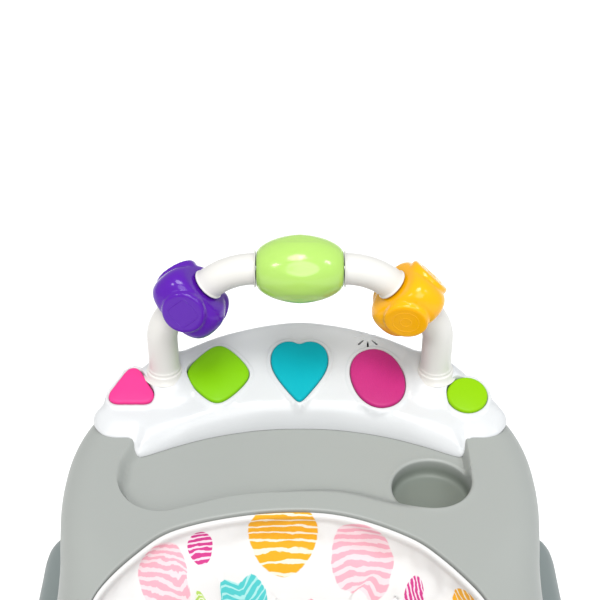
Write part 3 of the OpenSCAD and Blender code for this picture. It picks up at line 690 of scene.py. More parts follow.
HEART = [[0, 38], [9, 41], [18, 40.5], [26, 36], [31.5, 28], [33.5, 18], [32.5, 7], [28.5, -4], [21.5, -16], [13, -28], [6, -37], [2.5, -40.5], [0, -41.5]]
BTN = {
    "triangle": (ccw(even(tri_outline((-194.5, 65)), n=110)), (-194.5, 65)),
    "diamond": (ccw(even(softened(blob((-95.5, 86), 38.6, 41.8, 1.28, 480), 15), n=150)), (-95.5, 86)),
    "heart": (ccw(rounded(arr(both(HEART)) + [-0.6, 90], 1.6)), (-0.6, 92)),
    "oval": (ccw(even(turned(blob((90.5, 80.5), 30.5, 40.5, 2.15, 240), (90.5, 80.5), 17), n=140)), (90.5, 80.5)),
    "round": (ccw(circle((193, 57), 23.5, 96)), (193, 57)),
}
WELL = {k: face_plan(offset(p, -0.45)) for k, (p, c) in BTN.items()}
FEET = [(-157.7, 248.0), (157.7, 248.0)]


def on_lobe(P):
    """0 where the console's edge stands on the recess floor, 1 where it stands on the rim."""
    x, y = np.abs(P[:, 0]), P[:, 1]
    return smooth((x - 181.0) / 14.0)


def con_height(P, wells=True):
    x, y = P[:, 0], P[:, 1]
    plane = 404 + math.tan(TILT) * (y - 165)
    # the face swells up in a soft collar round each foot of the toy bar
    z0 = plane.copy()
    for cx, cy in FEET:
        r = np.hypot(x - cx, (y - cy))
        z0 += 9.0 * (1 - smooth((r - 20.5) / 27.0))
    lobe = on_lobe(P)
    ze = 387.0 + 13.4 * lobe
    far = smooth((y - 232) / 40)
    ze = ze * (1 - far) + 400.6 * far
    d = np.maximum(signed(P, CON), 0)
    ax = np.abs(x)
    near = 1 - smooth((y - 205) / 30)
    wn = 12.5 + 4.5 * smooth((ax - 25) / 55) + 6.0 * smooth((ax - 125) / 40)
    W = 33.0 * (1 - near) + wn * near
    t = np.clip(d / W, 0, 1)
    ex = 0.58 - 0.03 * near
    p = (1 - (1 - t) ** 2) ** ex
    z = ze + (z0 - ze) * p
    # soft raised rim round each button
    lift = np.zeros(len(P))
    for k, w in WELL.items():
        dd = -signed(P, w)
        top = plane + 1.5
        m = np.where(dd < 0, 1.0, 1 - smooth((dd - 3.3) / 2.6))
        rise = np.maximum(top - z, 0) * m
        e = np.clip(1 - dd / 0.9, 0, 1)
        rise = rise - 0.8 * (1 - np.sqrt(np.maximum(1 - e * e, 0)))
        lift = np.where(m > 0, lift + rise, lift)
        # the faint valley outside the rim
        lift -= 0.28 * np.exp(-((dd - 7.4) / 2.2) ** 2) * (dd > 0)
    return z + lift


def slot_loops():
    out = []
    c = (80.5, 140.5)
    for i in range(8):
        a = 2 * math.pi * i / 8
        u = np.array([math.cos(a), math.sin(a)])
        n = np.array([-u[1], u[0]])
        pts = []
        for j in range(9):
            b = math.pi * (j / 8 - 0.5)
            pts.append(arr(c) + u * (15 + 1.3 * math.cos(b)) + n * 1.3 * math.sin(b))
        for j in range(9):
            b = math.pi * (j / 8 + 0.5)
            pts.append(arr(c) + u * (7.5 + 0.9 * math.cos(b)) + n * 0.9 * math.sin(b))
        out.append(ccw(face_plan(pts)))
    return out


def make_console():
    B = Build()
    near_l = [offset(CON, d) for d in (0.12, 0.4, 0.9, 1.7, 2.8, 4.2, 6.0, 8.2)]
    wells = {k: ccw(even(w, n=len(w))) for k, w in WELL.items()}
    holes = [wells[k] for k in BTN]
    slots = slot_loops()
    wl = []
    for k in BTN:
        for d in (0.25, 0.7, 1.2, 1.8, 2.6, 3.7, 5.0, 6.4):
            lp = offset(wells[k], -d)
            wl.append(lp)
    free_w = []
    loops = []
    for lp in wl:
        if signed(lp, near_l[-1]).min() > 0.6:
            loops.append(lp)
        else:
            free_w.append(lp[signed(lp, near_l[-1]) > 0.8])
    feet = [circle(c, r, 72) for c in FEET for r in (19.4, 20.2, 21.0, 22.0, 23.4, 25.4, 28, 31, 35, 39.5)]
    foot_h = [circle(c, 18.6, 72) for c in FEET]
    okf = []
    for lp in feet:
        bad = min((-signed(lp, w)).min() for w in holes) < 7.5 or signed(lp, near_l[-1]).min() < 0.8
        if bad:
            s = np.ones(len(lp), bool)
            for w in holes:
                s &= (-signed(lp, w)) > 7.5
            s &= signed(lp, near_l[-1]) > 0.8
            free_w.append(lp[s])
        else:
            okf.append(lp)
    P, F = sheet_cdt_points(CON, holes + slots + foot_h, near_l + loops + okf, free_w, 4.2)
    B.add(np.c_[P, con_height(P)], F)
    # the edge goes down into its parting line
    z = con_height(CON)
    lobe = on_lobe(CON)
    far = smooth((CON[:, 1] - 232) / 40)
    zb = (386.5 + 13.4 * lobe) * (1 - far) + 399.6 * far
    B.grid([np.c_[CON, z], np.c_[CON, np.minimum(z - 0.2, zb + 0.2)], np.c_[offset(CON, 1.2), zb]], flip=True)
    # button wells
    for k in BTN:
        w = wells[k]
        z = con_height(w)
        B.grid([np.c_[w, z], np.c_[offset(w, -0.02), z - 1.2], np.c_[offset(w, -0.02), z - 4], np.c_[offset(w, -0.02), z - 8.5]])
    for i_slot, w in enumerate(slots):
        z = con_height(w)
        if i_slot in (5, 6, 7):
            B.grid([np.c_[w, z], np.c_[w, z - 0.8], np.c_[w, z - 3.2]])
        else:
            B.grid([np.c_[w, z], np.c_[w, z - 0.5], np.c_[offset(w, 0.35), z - 0.75]], cap1=True)
    for w in foot_h:
        z = con_height(w)
        B.grid([np.c_[w, z], np.c_[w, z - 4.0]])
    return B.make("console_shell", 48)


console = make_console()
solidify(console, 2.2)
finish_piece(console, "tray", "white_plastic", M["white"], "console_housing")

# ------------------------------------------------------------------ buttons
def make_button(key, pitch=2.6, pitch_x=None, relief=None, z0=2.4, crown=1.7, edge=2.6):
    out, c = BTN[key]
    loops = [offset(out, d) for d in (0.12, 0.4, 0.85, 1.4, 2.0, 2.7, 3.8)]
    P, F = sheet_cdt(out, [], loops, pitch, 0.55) if not pitch_x else fine_sheet(out, loops, pitch_x, pitch)
    d = np.maximum(signed(P, out), 0)
    u = np.clip(1 - d / edge, 0, 1)
    dm = d.max()
    z = z0 + edge * np.sqrt(np.maximum(1 - u * u, 0)) + crown * (1 - (1 - np.clip(d / dm, 0, 1)) ** 2)
    if relief is not None:
        z = z + relief(P, d)
    B = Build()
    B.add(np.c_[P, z], F)
    zb = np.full(len(out), 0.0)
    B.grid([np.c_[out, zb + z0], np.c_[out, zb - 2.0], np.c_[out, zb - 8.9]], flip=True)
    B.grid([np.c_[out, zb - 8.9], np.c_[offset(out, -1.6), zb - 8.9], np.c_[offset(out, -1.6), zb - 10.8], np.c_[offset(out, 1.4), zb - 10.8],
            np.c_[offset(out, 1.4), zb - 1.0], np.c_[offset(out, 4.0), zb + 0.4]], flip=True, cap1=True)
    B.v = [face_to_world(np.vstack(B.v))]
    return B.make(key + "_cap", 50)


def fine_sheet(out, loops, px, py):
    """Fill with upright rows: px apart across, py apart along."""
    pts, edges = [], []
    for lp in [out, *loops]:
        b = len(pts)
        pts += [tuple(q) for q in lp]
        edges += [(b + i, b + (i + 1) % len(lp)) for i in range(len(lp))]
    lo, hi = arr(out).min(0), arr(out).max(0)
    g = np.array([(x, y + (py / 2 if i % 2 else 0)) for i, x in enumerate(np.arange(lo[0], hi[0], px)) for y in np.arange(lo[1], hi[1], py)])
    g = g[signed(g, loops[-1]) > 0.5]
    pts += [tuple(q) for q in g]
    v, _, f, _, _, _ = delaunay_2d_cdt([Vector(p) for p in pts], edges, [], 0, 1e-5)
    v = np.array([tuple(a) for a in v])
    f = np.array([tuple(t) for t in f if len(t) == 3])
    f = f[signed(v[f].mean(1), out) > 0]
    n, m = v[f[:, 1]] - v[f[:, 0]], v[f[:, 2]] - v[f[:, 0]]
    cr = n[:, 0] * m[:, 1] - n[:, 1] * m[:, 0]
    f[cr < 0] = f[cr < 0][:, ::-1]
    return v, f


def ribs(P, d):
    return 0.16 * np.cos(2 * math.pi * P[:, 0] / 2.9) * smooth((d - 3.0) / 1.5)


def dots(P, d):
    px, py = 3.3, 3.3 * 0.866
    best = np.full(len(P), 9.0)
    for sx, sy in ((0, 0), (px / 2, py)):
        qx = (P[:, 0] - sx + px / 2) % px - px / 2
        qy = (P[:, 1] - sy + py) % (2 * py) - py
        best = np.minimum(best, np.hypot(qx, qy))
    return 0.24 * (1 - smooth(best / 1.05)) * smooth((d - 3.2) / 1.5)


cap_specs = {
    "triangle": dict(mat="pink", slot="pink_plastic", kw=dict(crown=1.0)),
    "diamond": dict(mat="green", slot="green_plastic", kw=dict(crown=2.6)),
    "heart": dict(mat="teal", slot="teal_plastic", kw=dict(crown=1.4, pitch=3.0, pitch_x=0.72, relief=ribs)),
    "oval": dict(mat="magenta", slot="magenta_plastic", kw=dict(crown=1.6, pitch=0.8, pitch_x=0.72, relief=dots)),
    "round": dict(mat="lime", slot="lime_plastic", kw=dict(crown=1.8)),
}
for key, s in cap_specs.items():
    o = make_button(key, **s["kw"])
    finish_piece(o, key + "_button", s["slot"], M[s["mat"]], key + "_button")

# ------------------------------------------------------------------ toy bar
BAR_Y = 248.0
SPIN_C = np.array([122.0, 540.0])
SPIN_HALF = 27.5
K = math.sqrt(0.5)
LO = SPIN_C + SPIN_HALF * np.array([K, -K])
HI = SPIN_C - SPIN_HALF * np.array([K, -K])
R1, R2 = 52.0, 74.0
TOP_Z = HI[1] + R2 * (1 - K)
FOOT_X = 157.7


def sweep(path, radii, n=56):
    """Rings round a path in the XZ plane; path is [(x, z, tx, tz)]."""
    rings = []
    a = np.arange(n) * 2 * math.pi / n
    for (x, z, tx, tz), r in zip(path, radii):
        nx, nz = -tz, tx
        rings.append(np.c_[x + nx * r * np.cos(a), BAR_Y + r * np.sin(a), z + nz * r * np.cos(a)])
    return rings


def leg_piece(s):
    zc = LO[1] - R1 * K
    path, rad = [], []
    # flared foot, collar arcs, then the tube
    foot = [(431.5, 25.0), (434.0, 22.6), (436.5, 21.4), (438.2, 20.9), (439.3, 20.6), (439.8, 20.0), (440.0, 19.2), (440.5, 18.9), (442.5, 18.8),
            (443.6, 18.7), (444.1, 18.2), (445.2, 17.9), (450, 17.7), (458, 17.6), (470, 17.6)]
    for z, r in foot:
        path.append((FOOT_X, z, 0, 1))
        rad.append(r)
    for i in range(13):
        t = math.radians(45 * i / 12)
        path.append((FOOT_X - R1 + R1 * math.cos(t), zc + R1 * math.sin(t), -math.sin(t), math.cos(t)))
        rad.append(17.6 + 0.2 * i / 12)
    ex, ez = path[-1][0], path[-1][1]
    for dd, r in ((0.0, 18.3), (0.2, 18.8), (0.7, 19.0), (1.3, 19.0), (1.8, 18.7), (2.0, 18.0), (2.0, 8.0)):
        path.append((LO[0] - K * (dd - 1.8), LO[1] + K * (dd - 1.8), -K, K))
        rad.append(r)
    B = Build()
    B.grid(sweep(path, rad), cap0=True, cap1=True)
    v = np.vstack(B.v)
    if s < 0:
        v[:, 0] *= -1
    B.v = [v]
    return B.make(("left" if s < 0 else "right") + "_bar_leg_tube", 40)


def arm_piece(s):
    path, rad = [], []
    cx, cz = HI[0] - R2 * K, TOP_Z - R2
    for dd, r in ((0.0, 8.0), (0.0, 18.0), (0.2, 18.8), (0.7, 19.1), (1.4, 19.1), (2.0, 18.7), (2.4, 18.1)):
        path.append((HI[0] - K * (dd - 0.2), HI[1] + K * (dd - 0.2), -K, K))
        rad.append(r)
    for i in range(1, 17):
        t = math.radians(45 + 45 * i / 16)
        path.append((cx + R2 * math.cos(t), cz + R2 * math.sin(t), -math.sin(t), math.cos(t)))
        rad.append(17.7)
    for x, r in ((53.2, 17.8), (52.2, 18.2), (51.7, 18.9), (51.5, 20.2), (51.0, 20.9), (50.2, 21.1), (49.4, 20.9), (49.0, 20.0), (49.0, 8.0)):
        if x < path[-1][0] or r > 17.8:
            path.append((min(x, path[-1][0]), TOP_Z, -1, 0))
            rad.append(r)
    B = Build()
    B.grid(sweep(path, rad), cap0=True, cap1=True)
    v = np.vstack(B.v)
    if s < 0:
        v[:, 0] *= -1
    B.v = [v]
    return B.make(("left" if s < 0 else "right") + "_bar_arm_tube", 40)


for s, side in ((-1, "left"), (1, "right")):
    finish_piece(leg_piece(s), "tray", "white_plastic", M["bar_white"], f"bar_{side}_leg")
    finish_piece(arm_piece(s), "tray", "white_plastic", M["bar_white"], f"bar_{side}_arm")


def spin_frame(s, phase):
    """Matrix of the tumbler's own axes: local Z along the axle."""
    m = Matrix.Translation((SPIN_C[0] * MM, BAR_Y * MM, SPIN_C[1] * MM)) @ Matrix.Rotation(math.radians(-45), 4, "Y") @ Matrix.Rotation(math.radians(phase), 4, "Z")
    if s < 0:
        m = Matrix.Scale(-1, 4, (1, 0, 0)) @ m
    return m


def tumbler_body(name, s, phase, motif):
    B = Build()
    a = np.radians(-5.0 * np.arange(72))
    flat = 30.6
    bulge = 0.5 * (1 - np.cos(3 * a)) ** 1.0
    rings = []
    for z in (-24.8, -24.2, -22.6, -20.0, -16.5, -12, -6, 0, 6, 12, 16.5, 20.0, 22.6, 24.2, 24.8):
        w = math.sqrt(max(1 - (abs(z) / 25.6) ** 2.4, 0))
        e = math.sqrt(max(1 - (abs(z) / 26.4) ** 5, 0))
        rr_ = flat * (0.80 + 0.20 * e) + bulge * 15.6 * w
        if abs(z) > 24.5:
            rr_ = rr_ * 0.93
        rings.append(ccw(np.c_[rr_ * np.cos(a), rr_ * np.sin(a)]))
    rings = [np.c_[q, np.full(len(q), z)] for q, z in zip(rings, (-24.8, -24.2, -22.6, -20.0, -16.5, -12, -6, 0, 6, 12, 16.5, 20.0, 22.6, 24.2, 24.8))]
    B.grid(rings, cap0=True, cap1=True)
    for d in (0, 120, 240):
        t = math.radians(d)
        ax = np.array([math.cos(t), math.sin(t), 0])
        u = np.array([-math.sin(t), math.cos(t), 0])
        w = np.array([0, 0, 1.0])
        q = np.arange(64) * 2 * math.pi / 64
        rr = []
        for h, rad in ((4, 21.0), (18, 23.0), (27, 24.6), (31.5, 25.0), (34.6, 24.9), (36.4, 24.3), (37.3, 22.9), (37.6, 20.6), (37.5, 16), (37.5, 8)):
            rr.append(ax * h + np.outer(np.cos(q), u) * rad + np.outer(np.sin(q), w) * rad * (1.0 if rad < 26.5 else 0.985))
        B.grid(rr, cap0=True, cap1=True)
    ob = B.make(name, None, weld=0.001)
    m = ob.modifiers.new("skin", "REMESH")
    m.mode = "VOXEL"
    m.voxel_size = 1.15 * MM
    baked(ob)
    bm = bmesh.new()
    bm.from_mesh(ob.data)
    for _ in range(6):
        bmesh.ops.smooth_vert(bm, verts=bm.verts, factor=0.5, use_axis_x=True, use_axis_y=True, use_axis_z=True)
    bm.to_mesh(ob.data)
    bm.free()
    # raised line on each disc
    L_ = Build()
    for d in (0, 120, 240):
        t = math.radians(d)
        ax = np.array([math.cos(t), math.sin(t), 0])
        u = np.array([-math.sin(t), math.cos(t), 0])
        w = np.array([0, 0, 1.0])
        if motif == "square":
            pth = [turned(blob((0, 0), 13.5, 13.5, 6.0, 96), (0, 0), 4)]
        else:
            pth = [circle((0, 0), 14.6, 96), circle((0, 0), 6.2, 64)]
        for p in pth:
            p = even(p, n=len(p))
            tn = np.roll(p, -1, 0) - np.roll(p, 1, 0)
            tn /= np.linalg.norm(tn, axis=1)[:, None]
            nn = np.c_[-tn[:, 1], tn[:, 0]]
            rr = []
            for k in range(8):
                b = 2 * math.pi * k / 8
                q2 = p + nn * 0.62 * math.cos(b)
                hh = 37.25 + 0.5 * math.sin(b)
                rr.append(ax * hh + np.outer(q2[:, 0], u) + np.outer(q2[:, 1], w))
            rr.append(rr[0])
            L_.grid(rr)
    ln = L_.make(name + "_line", None, weld=0.001)
    bm = bmesh.new()
    bm.from_mesh(ob.data)
    bm.from_mesh(ln.data)
    bm.transform(spin_frame(s, phase))
    if s < 0:
        bmesh.ops.reverse_faces(bm, faces=bm.faces)
    bm.to_mesh(ob.data)
    bm.free()
    bpy.data.objects.remove(ln)
    ob.data.shade_smooth()
    return ob


finish_piece(tumbler_body("purple_tumbler", -1, -76, "square"), "left_tumbler", "purple_plastic", M["purple"], "left_tumbler")
finish_piece(tumbler_body("orange_tumbler", 1, -102, "circle"), "right_tumbler", "orange_plastic", M["orange"], "right_tumbler")

PROF = np.array([[-48, 17.0], [-48, 18.2], [-47.6, 19.4], [-46.6, 21.4], [-45, 23.4], [-42.5, 25.6], [-38, 28.6], [-32, 31.6], [-26, 33.8], [-20, 35.5], [-14, 36.8], [-8, 37.7], [-3, 38.2], [0, 38.3]])


def barrel_half(name, a0, a1):
    x = np.r_[PROF[:, 0], -PROF[:-1, 0][::-1]]
    r = np.r_[PROF[:, 1], PROF[:-1, 1][::-1]]
    s = np.r_[0, np.cumsum(np.hypot(np.diff(x), np.diff(r)))]
    t = np.linspace(0, s[-1], 92)
    xs, rs = np.interp(t, s, x), np.interp(t, s, r)
    for _ in range(3):
        rs[3:-3] = (rs[2:-4] + rs[3:-3] * 2 + rs[4:-2]) / 4
    n = 97
    ang = np.radians(np.linspace(a0, a1, n))
    rings_o, rings_i = [], []
    mid = math.radians(180 + 35.0)          # one dimple looks at the front, tilted up
    for xx, rr in zip(xs, rs):
        d = np.zeros(n)
        for k in range(6):
            c = mid + k * math.pi / 3
            da = (ang - c + math.pi) % (2 * math.pi) - math.pi
            rho = np.sqrt((da * 38.5 / 8.6) ** 2 + (xx / 23.0) ** 2)
            d += 0.62 * (1 - smooth((rho - 0.45) / 0.55))
        q = rr - d
        rings_o.append(np.c_[np.full(n, xx), BAR_Y + q * np.cos(ang), TOP_Z - q * np.sin(ang)])
        qi = np.full(n, max(rr - 3.2, 14.0))
        rings_i.append(np.c_[np.full(n, xx * 0.965), BAR_Y + qi * np.cos(ang), TOP_Z - qi * np.sin(ang)])
    B = Build()
    closed = [np.vstack([o, i[::-1]]) for o, i in zip(rings_o, rings_i)]
    B.grid(closed)
    m = len(closed[0])
    # end walls
    for idx, flip in ((0, True), (len(closed) - 1, False)):
        b = idx * m
        for j in range(n - 1):
            q4 = (b + j, b + j + 1, b + m - 2 - j, b + m - 1 - j)
            B.f.append(q4[::-1] if flip else q4)
    return B.make(name, 40, weld=0.001)


# front half faces the seat; the seam runs over the top and along the underside
finish_piece(barrel_half("barrel_shell_front", 90.0, 270.0), "barrel", "barrel_plastic", M["barrel"], "barrel_front_shell")
finish_piece(barrel_half("barrel_shell_rear", -90.0, 90.0), "barrel", "barrel_plastic", M["barrel"], "barrel_rear_shell")

# ------------------------------------------------------------------ seat bucket of printed cloth
LEVELS = arr([[386, 0, 205, 59, -293], [374, .4, 184, 52, -290], [352, .8, 165, 26, -283], [326, .85, 152, -2, -276],
              [296, .97, 140, -30, -265], [262, 1, 128, -56, -250], [230, 1, 114, -80, -230], [207, 1, 86, -108, -205]])
SEAT_MID = arr([0, -117])
COLS = 224
i0 = int(np.argmin(HOLE[:, 1] + 0.001 * np.abs(HOLE[:, 0])))
RIM = even(np.roll(HOLE, -i0, 0), n=COLS)
LEG_AXES = [(arr([60.0 * s, -110.0, 300.0]), arr([0.1953 * s, 0.7290, -0.6561])) for s in (-1, 1)]


def seat_level(l):
    z, b, hw, yf, yr = l
    q = RIM - SEAT_MID
    a = np.arctan2(q[:, 1] * 205 / 176, q[:, 0])
    o = np.c_[hw * np.cos(a), (yf + yr) / 2 + (yf - yr) / 2 * np.sin(a)]
    s = offset(RIM, 0.5)
    return np.c_[s * (1 - b) + o * b, np.full(len(s), z)]


def seat_rows():
    # the hidden hem, then a soft rolled edge that stands up inside the opening
    rows = [np.c_[offset(RIM, -d), np.full(COLS, z)] for d, z in ((10, 387.2), (7.2, 389.2), (4.4, 390.4), (1.8, 390.8), (-0.8, 392.2), (-1.2, 395.0), (-2.2, 396.8),
                                                                  (-3.8, 397.2), (-5.2, 396.2), (-5.9, 393.6), (-5.6, 390.4), (-4.6, 387.4))]
    h = len(rows)
    lev = LEVELS.copy()
    lam = np.linspace(0, 7, 47)
    body = []
    for t in lam[1:]:
        l = [np.interp(t, np.arange(8), lev[:, k]) for k in range(5)]
        body.append(seat_level(l))
    last = body[-1]
    c = last.mean(0)
    for k, dz in ((0.93, -3.0), (0.82, -5.5), (0.68, -7.5), (0.52, -9.0), (0.35, -9.8), (0.18, -10.2)):
        q = c + (last - c) * k
        q[:, 2] = 207 + dz
        body.append(q)
    R = np.array(rows + body)
    for _ in range(10):
        S = R.copy()
        S[h:-1] = (R[h - 1:-2] + 2 * R[h:-1] + R[h + 1:]) / 4
        R = S
    return R


def fold_field(u, v):
    """Pleats that start under the rim and open downwards; millimetres outwards."""
    out = np.zeros_like(u)
    for uc, v0, w, amp, lean in ((-82, 30, 5.0, 17, 0.42), (-52, 64, 6, 10, 0.30), (40, 22, 6.0, 11, 0.06), (104, 40, 6.0, 19, -0.30), (128, 60, 6, 10, -0.1), (4, 78, 9, 12, -0.14),
                                 (-158, 20, 7, 12, 0.30), (190, 22, 7, 13, -0.25), (-205, 40, 8, 11, 0.1), (240, 40, 9, 11, 0.1), (-268, 30, 10, 12, 0.1), (296, 30, 10, 12, -0.1),
                                 (-340, 34, 12, 10, 0), (372, 34, 12, 10, 0), (-430, 30, 12, 10, 0), (450, 36, 12, 10, 0)):
        d = v - v0
        ww = w * 0.85 + 0.17 * np.maximum(d, 0)
        x = (u - uc - lean * d) / ww
        out += amp * smooth(d / 34) * (1 - 0.8 * smooth((d - 80) / 90)) * (0.75 * np.exp(-x ** 2) - 0.85 * np.exp(-((np.abs(x) - 1.45) / 0.7) ** 2))
    return out


def make_seat():
    R = seat_rows()
    nr = len(R)
    path = np.zeros((nr, COLS))
    path[1:] = np.cumsum(np.linalg.norm(np.diff(R, axis=0), axis=2), 0)
    path -= path[11].mean() - 11.9
    per = np.linalg.norm(np.roll(R, -1, 1) - R, axis=2).sum(1)
    seg = np.linalg.norm(np.roll(R, -1, 1) - R, axis=2)
    U = np.zeros((nr, COLS + 1))
    U[:, 1:] = np.cumsum(seg, 1)
    mid = np.argmax(RIM[:, 1] - 0.001 * np.abs(RIM[:, 0]))
    U = U[:, mid][:, None] - U
    # folds push along the sheet's own outward direction
    out = np.zeros_like(R)
    tz = np.gradient(R, axis=0)
    tu = (np.roll(R, -1, 1) - np.roll(R, 1, 1))
    nrm = np.cross(tz, tu)
    nrm /= np.maximum(np.linalg.norm(nrm, axis=2), 1e-6)[..., None]
    cen = R.mean(1, keepdims=True)
    sgn = np.sign(((R - cen) * nrm).sum(2))
    nrm *= np.where(sgn == 0, 1, sgn)[..., None]
    nrm[-8:] = 0
    ff = fold_field(U[:, :COLS], path)
    R2 = R + nrm * ff[..., None]
    verts = R2.reshape(-1, 3)
    faces, uvs = [], []
    flat_faces = 0.0
    n = COLS
    F0 = R.reshape(-1, 3)
    for i in range(nr - 1):
        for j in range(n):
            k = (j + 1) % n
            q = (i * n + j, i * n + k, (i + 1) * n + k, (i + 1) * n + j)
            c = verts[list(q)].mean(0)
            hit = False
            for A, D in LEG_AXES:
                w = c - A
                t = w @ D
                if 0 < t < 120 and np.linalg.norm(w - t * D) < 43.0:
                    hit = True
            if hit:
                continue
            faces.append(q)
            uvs.append([(U[i, j], path[i, j]), (U[i, j + 1], path[i, k]), (U[i + 1, j + 1], path[i + 1, k]), (U[i + 1, j], path[i + 1, j])])
    cidx = len(verts)
    verts = np.vstack([verts, verts[-n:].mean(0)[None] - [0, 0, 0.1]])
    for j in range(n):
        k = (j + 1) % n
        faces.append(((nr - 1) * n + j, (nr - 1) * n + k, cidx))
        uvs.append([(U[-1, j], path[-1, j]), (U[-1, j + 1], path[-1, k]), (U[-1, j], path[-1, j] + 14)])
    me = bpy.data.meshes.new("seat_cloth")
    me.from_pydata((verts * MM).tolist(), [], faces)
    lay = me.uv_layers.new(name="print")
    flat = [c for f in uvs for p in f for c in (p[0] * MM, p[1] * MM)]
    lay.data.foreach_set("uv", flat)
    bm = bmesh.new()
    bm.from_mesh(me)
    bmesh.ops.delete(bm, geom=[v for v in bm.verts if not v.link_faces], context="VERTS")
    # tidy the cut rows of the leg holes on to the round holes
    edge = set()
    for v in bm.verts:
        if v.is_boundary and v.co.z < 0.37:
            edge.add(v.index)
            for A, D in LEG_AXES:
                if abs(v.co.x * 1000 - A[0]) > 75:
                    continue
                w = arr(v.co) / MM - A
                t = w @ D
                p = w - t * D
                r = np.linalg.norm(p)
                if 0 < t < 120 and r < 55:
                    v.co = Vector(((A + t * D + p / r * 43.0) * MM).tolist())
    bm.verts.ensure_lookup_table()
    for _ in range(3):
        near = [v for v in bm.verts if not v.is_boundary and any(o.other_vert(v).is_boundary for o in v.link_edges) and v.co.z < 0.37]
        new = [(v, sum((e.other_vert(v).co for e in v.link_edges), Vector()) / len(v.link_edges)) for v in near]
        for v, c in new:
            v.co = v.co.lerp(c, 0.5)
    bmesh.ops.recalc_face_normals(bm, faces=bm.faces)
    bm.to_mesh(me)
    bm.free()
    me.shade_smooth()
    ob = bpy.data.objects.new("seat_cloth", me)
    scene.collection.objects.link(ob)
    return ob


def boundary_loops(me, below):
    bm = bmesh.new()
    bm.from_mesh(me)
    left = {e.index: e for e in bm.edges if e.is_boundary and e.verts[0].co.z < below}
    loops = []
    while left:
        e = next(iter(left.values()))
        left.pop(e.index)
        start, v = e.verts
        lp = [start.co.copy(), v.co.copy()]
        while v != start:
            nx = [x for x in v.link_edges if x.index in left]
            if not nx:
                break
            left.pop(nx[0].index)
            v = nx[0].other_vert(v)
            lp.append(v.co.copy())
        loops.append(arr(lp[:-1]) / MM)
    bm.free()
    return loops


def tube_round(name, loop, rx, ry, n=10, step=4.0, wobble=0.0):
    """Closed tube along a loop in space."""
    q = np.vstack([loop, loop[:1]])
    s = np.r_[0, np.cumsum(np.linalg.norm(np.diff(q, axis=0), axis=1))]
    k = max(12, int(s[-1] / step))
    t = np.linspace(0, s[-1], k, endpoint=False)
    p = np.c_[[np.interp(t, s, q[:, i]) for i in range(3)]].T
    for _ in range(3):
        p = (np.roll(p, 1, 0) + 2 * p + np.roll(p, -1, 0)) / 4
    c = p.mean(0)
    tan = np.roll(p, -1, 0) - np.roll(p, 1, 0)
    tan /= np.linalg.norm(tan, axis=1)[:, None]
    rad = p - c
    rad -= (rad * tan).sum(1)[:, None] * tan
    rad /= np.linalg.norm(rad, axis=1)[:, None]
    bi = np.cross(tan, rad)
    rings = []
    for i in range(n + 1):
        b = 2 * math.pi * i / n
        rings.append(p + rad * rx * math.cos(b) + bi * ry * math.sin(b))
    B = Build()
    B.grid(rings)
    return B.make(name, None, weld=0.01)


def keep_inside(co):
    """Draws cloth that has billowed past the bucket's outside back to it; metres."""
    q = co / MM
    lam = np.arange(8)
    for z0 in np.arange(196.0, 386.0, 2.0):
        z = max(z0 + 1.0, 207.0)
        at = np.interp(-z, -LEVELS[:, 0], lam)
        line = seat_level([np.interp(at, lam, LEVELS[:, c]) for c in range(5)])[:, :2]
        rows = np.where((q[:, 2] >= z0) & (q[:, 2] < z0 + 2.0))[0]
        if not len(rows):
            continue
        P = q[rows, :2]
        room = 4.0 * (1 - smooth((np.abs(P[:, 0]) - 70) / 40)) * (P[:, 1] > -117)
        over = np.maximum(0.8 - room - signed(P, line), 0)
        away = SEAT_MID - P
        away /= np.maximum(np.linalg.norm(away, axis=1), 1e-6)[:, None]
        q[rows, :2] = P + away * (over * 1.06)[:, None]
    return q * MM


seat = make_seat()
vg = seat.vertex_groups.new(name="pin")
rim_v, leg_v, low_v = [], [], []
bm = bmesh.new()
bm.from_mesh(seat.data)
for v in bm.verts:
    if v.co.z > 0.3855:
        rim_v.append(v.index)
    elif v.is_boundary:
        leg_v.append(v.index)
    elif v.co.z < 0.2005:
        low_v.append(v.index)
bm.free()
vg.add(rim_v, 1.0, "REPLACE")
vg.add(leg_v, 0.55, "REPLACE")
vg.add(low_v, 0.8, "REPLACE")
start = arr([v.co for v in seat.data.vertices])
mod = seat.modifiers.new("cloth", "CLOTH")
cs = mod.settings
cs.quality = 7
cs.mass = 0.18
cs.tension_stiffness = 22
cs.compression_stiffness = 14
cs.shear_stiffness = 6
cs.bending_stiffness = 0.35
cs.air_damping = 2.0
cs.vertex_group_mass = "pin"
cs.pin_stiffness = 1.0
cs.shrink_min = -0.045
mod.collision_settings.use_collision = False
for f in range(1, 27):
    scene.frame_set(f)
dg = bpy.context.evaluated_depsgraph_get()
ev = seat.evaluated_get(dg)
end = arr([v.co for v in ev.data.vertices])
seat.modifiers.clear()
scene.frame_set(1)
d = end - start
ln = np.linalg.norm(d, axis=1)
cap = 0.020
k = np.where(ln > cap, cap / np.maximum(ln, 1e-9), 1.0)
end = keep_inside(start + d * k[:, None])
seat.data.vertices.foreach_set("co", end.reshape(-1))
seat.data.update()
print("seat cloth moved", round(float(ln.max()), 4), round(float(ln.mean()), 4))
bm = bmesh.new()
bm.from_mesh(seat.data)
inner = [v for v in bm.verts if not v.is_boundary]
for _ in range(2):
    bmesh.ops.smooth_vert(bm, verts=inner, factor=0.5, use_axis_x=True, use_axis_y=True, use_axis_z=True)
bm.to_mesh(seat.data)
bm.free()
seat.data.shade_smooth()
leg_loops = [lp for lp in boundary_loops(seat.data, 0.37) if len(lp) > 20]
solidify(seat, 1.1, 0.0)

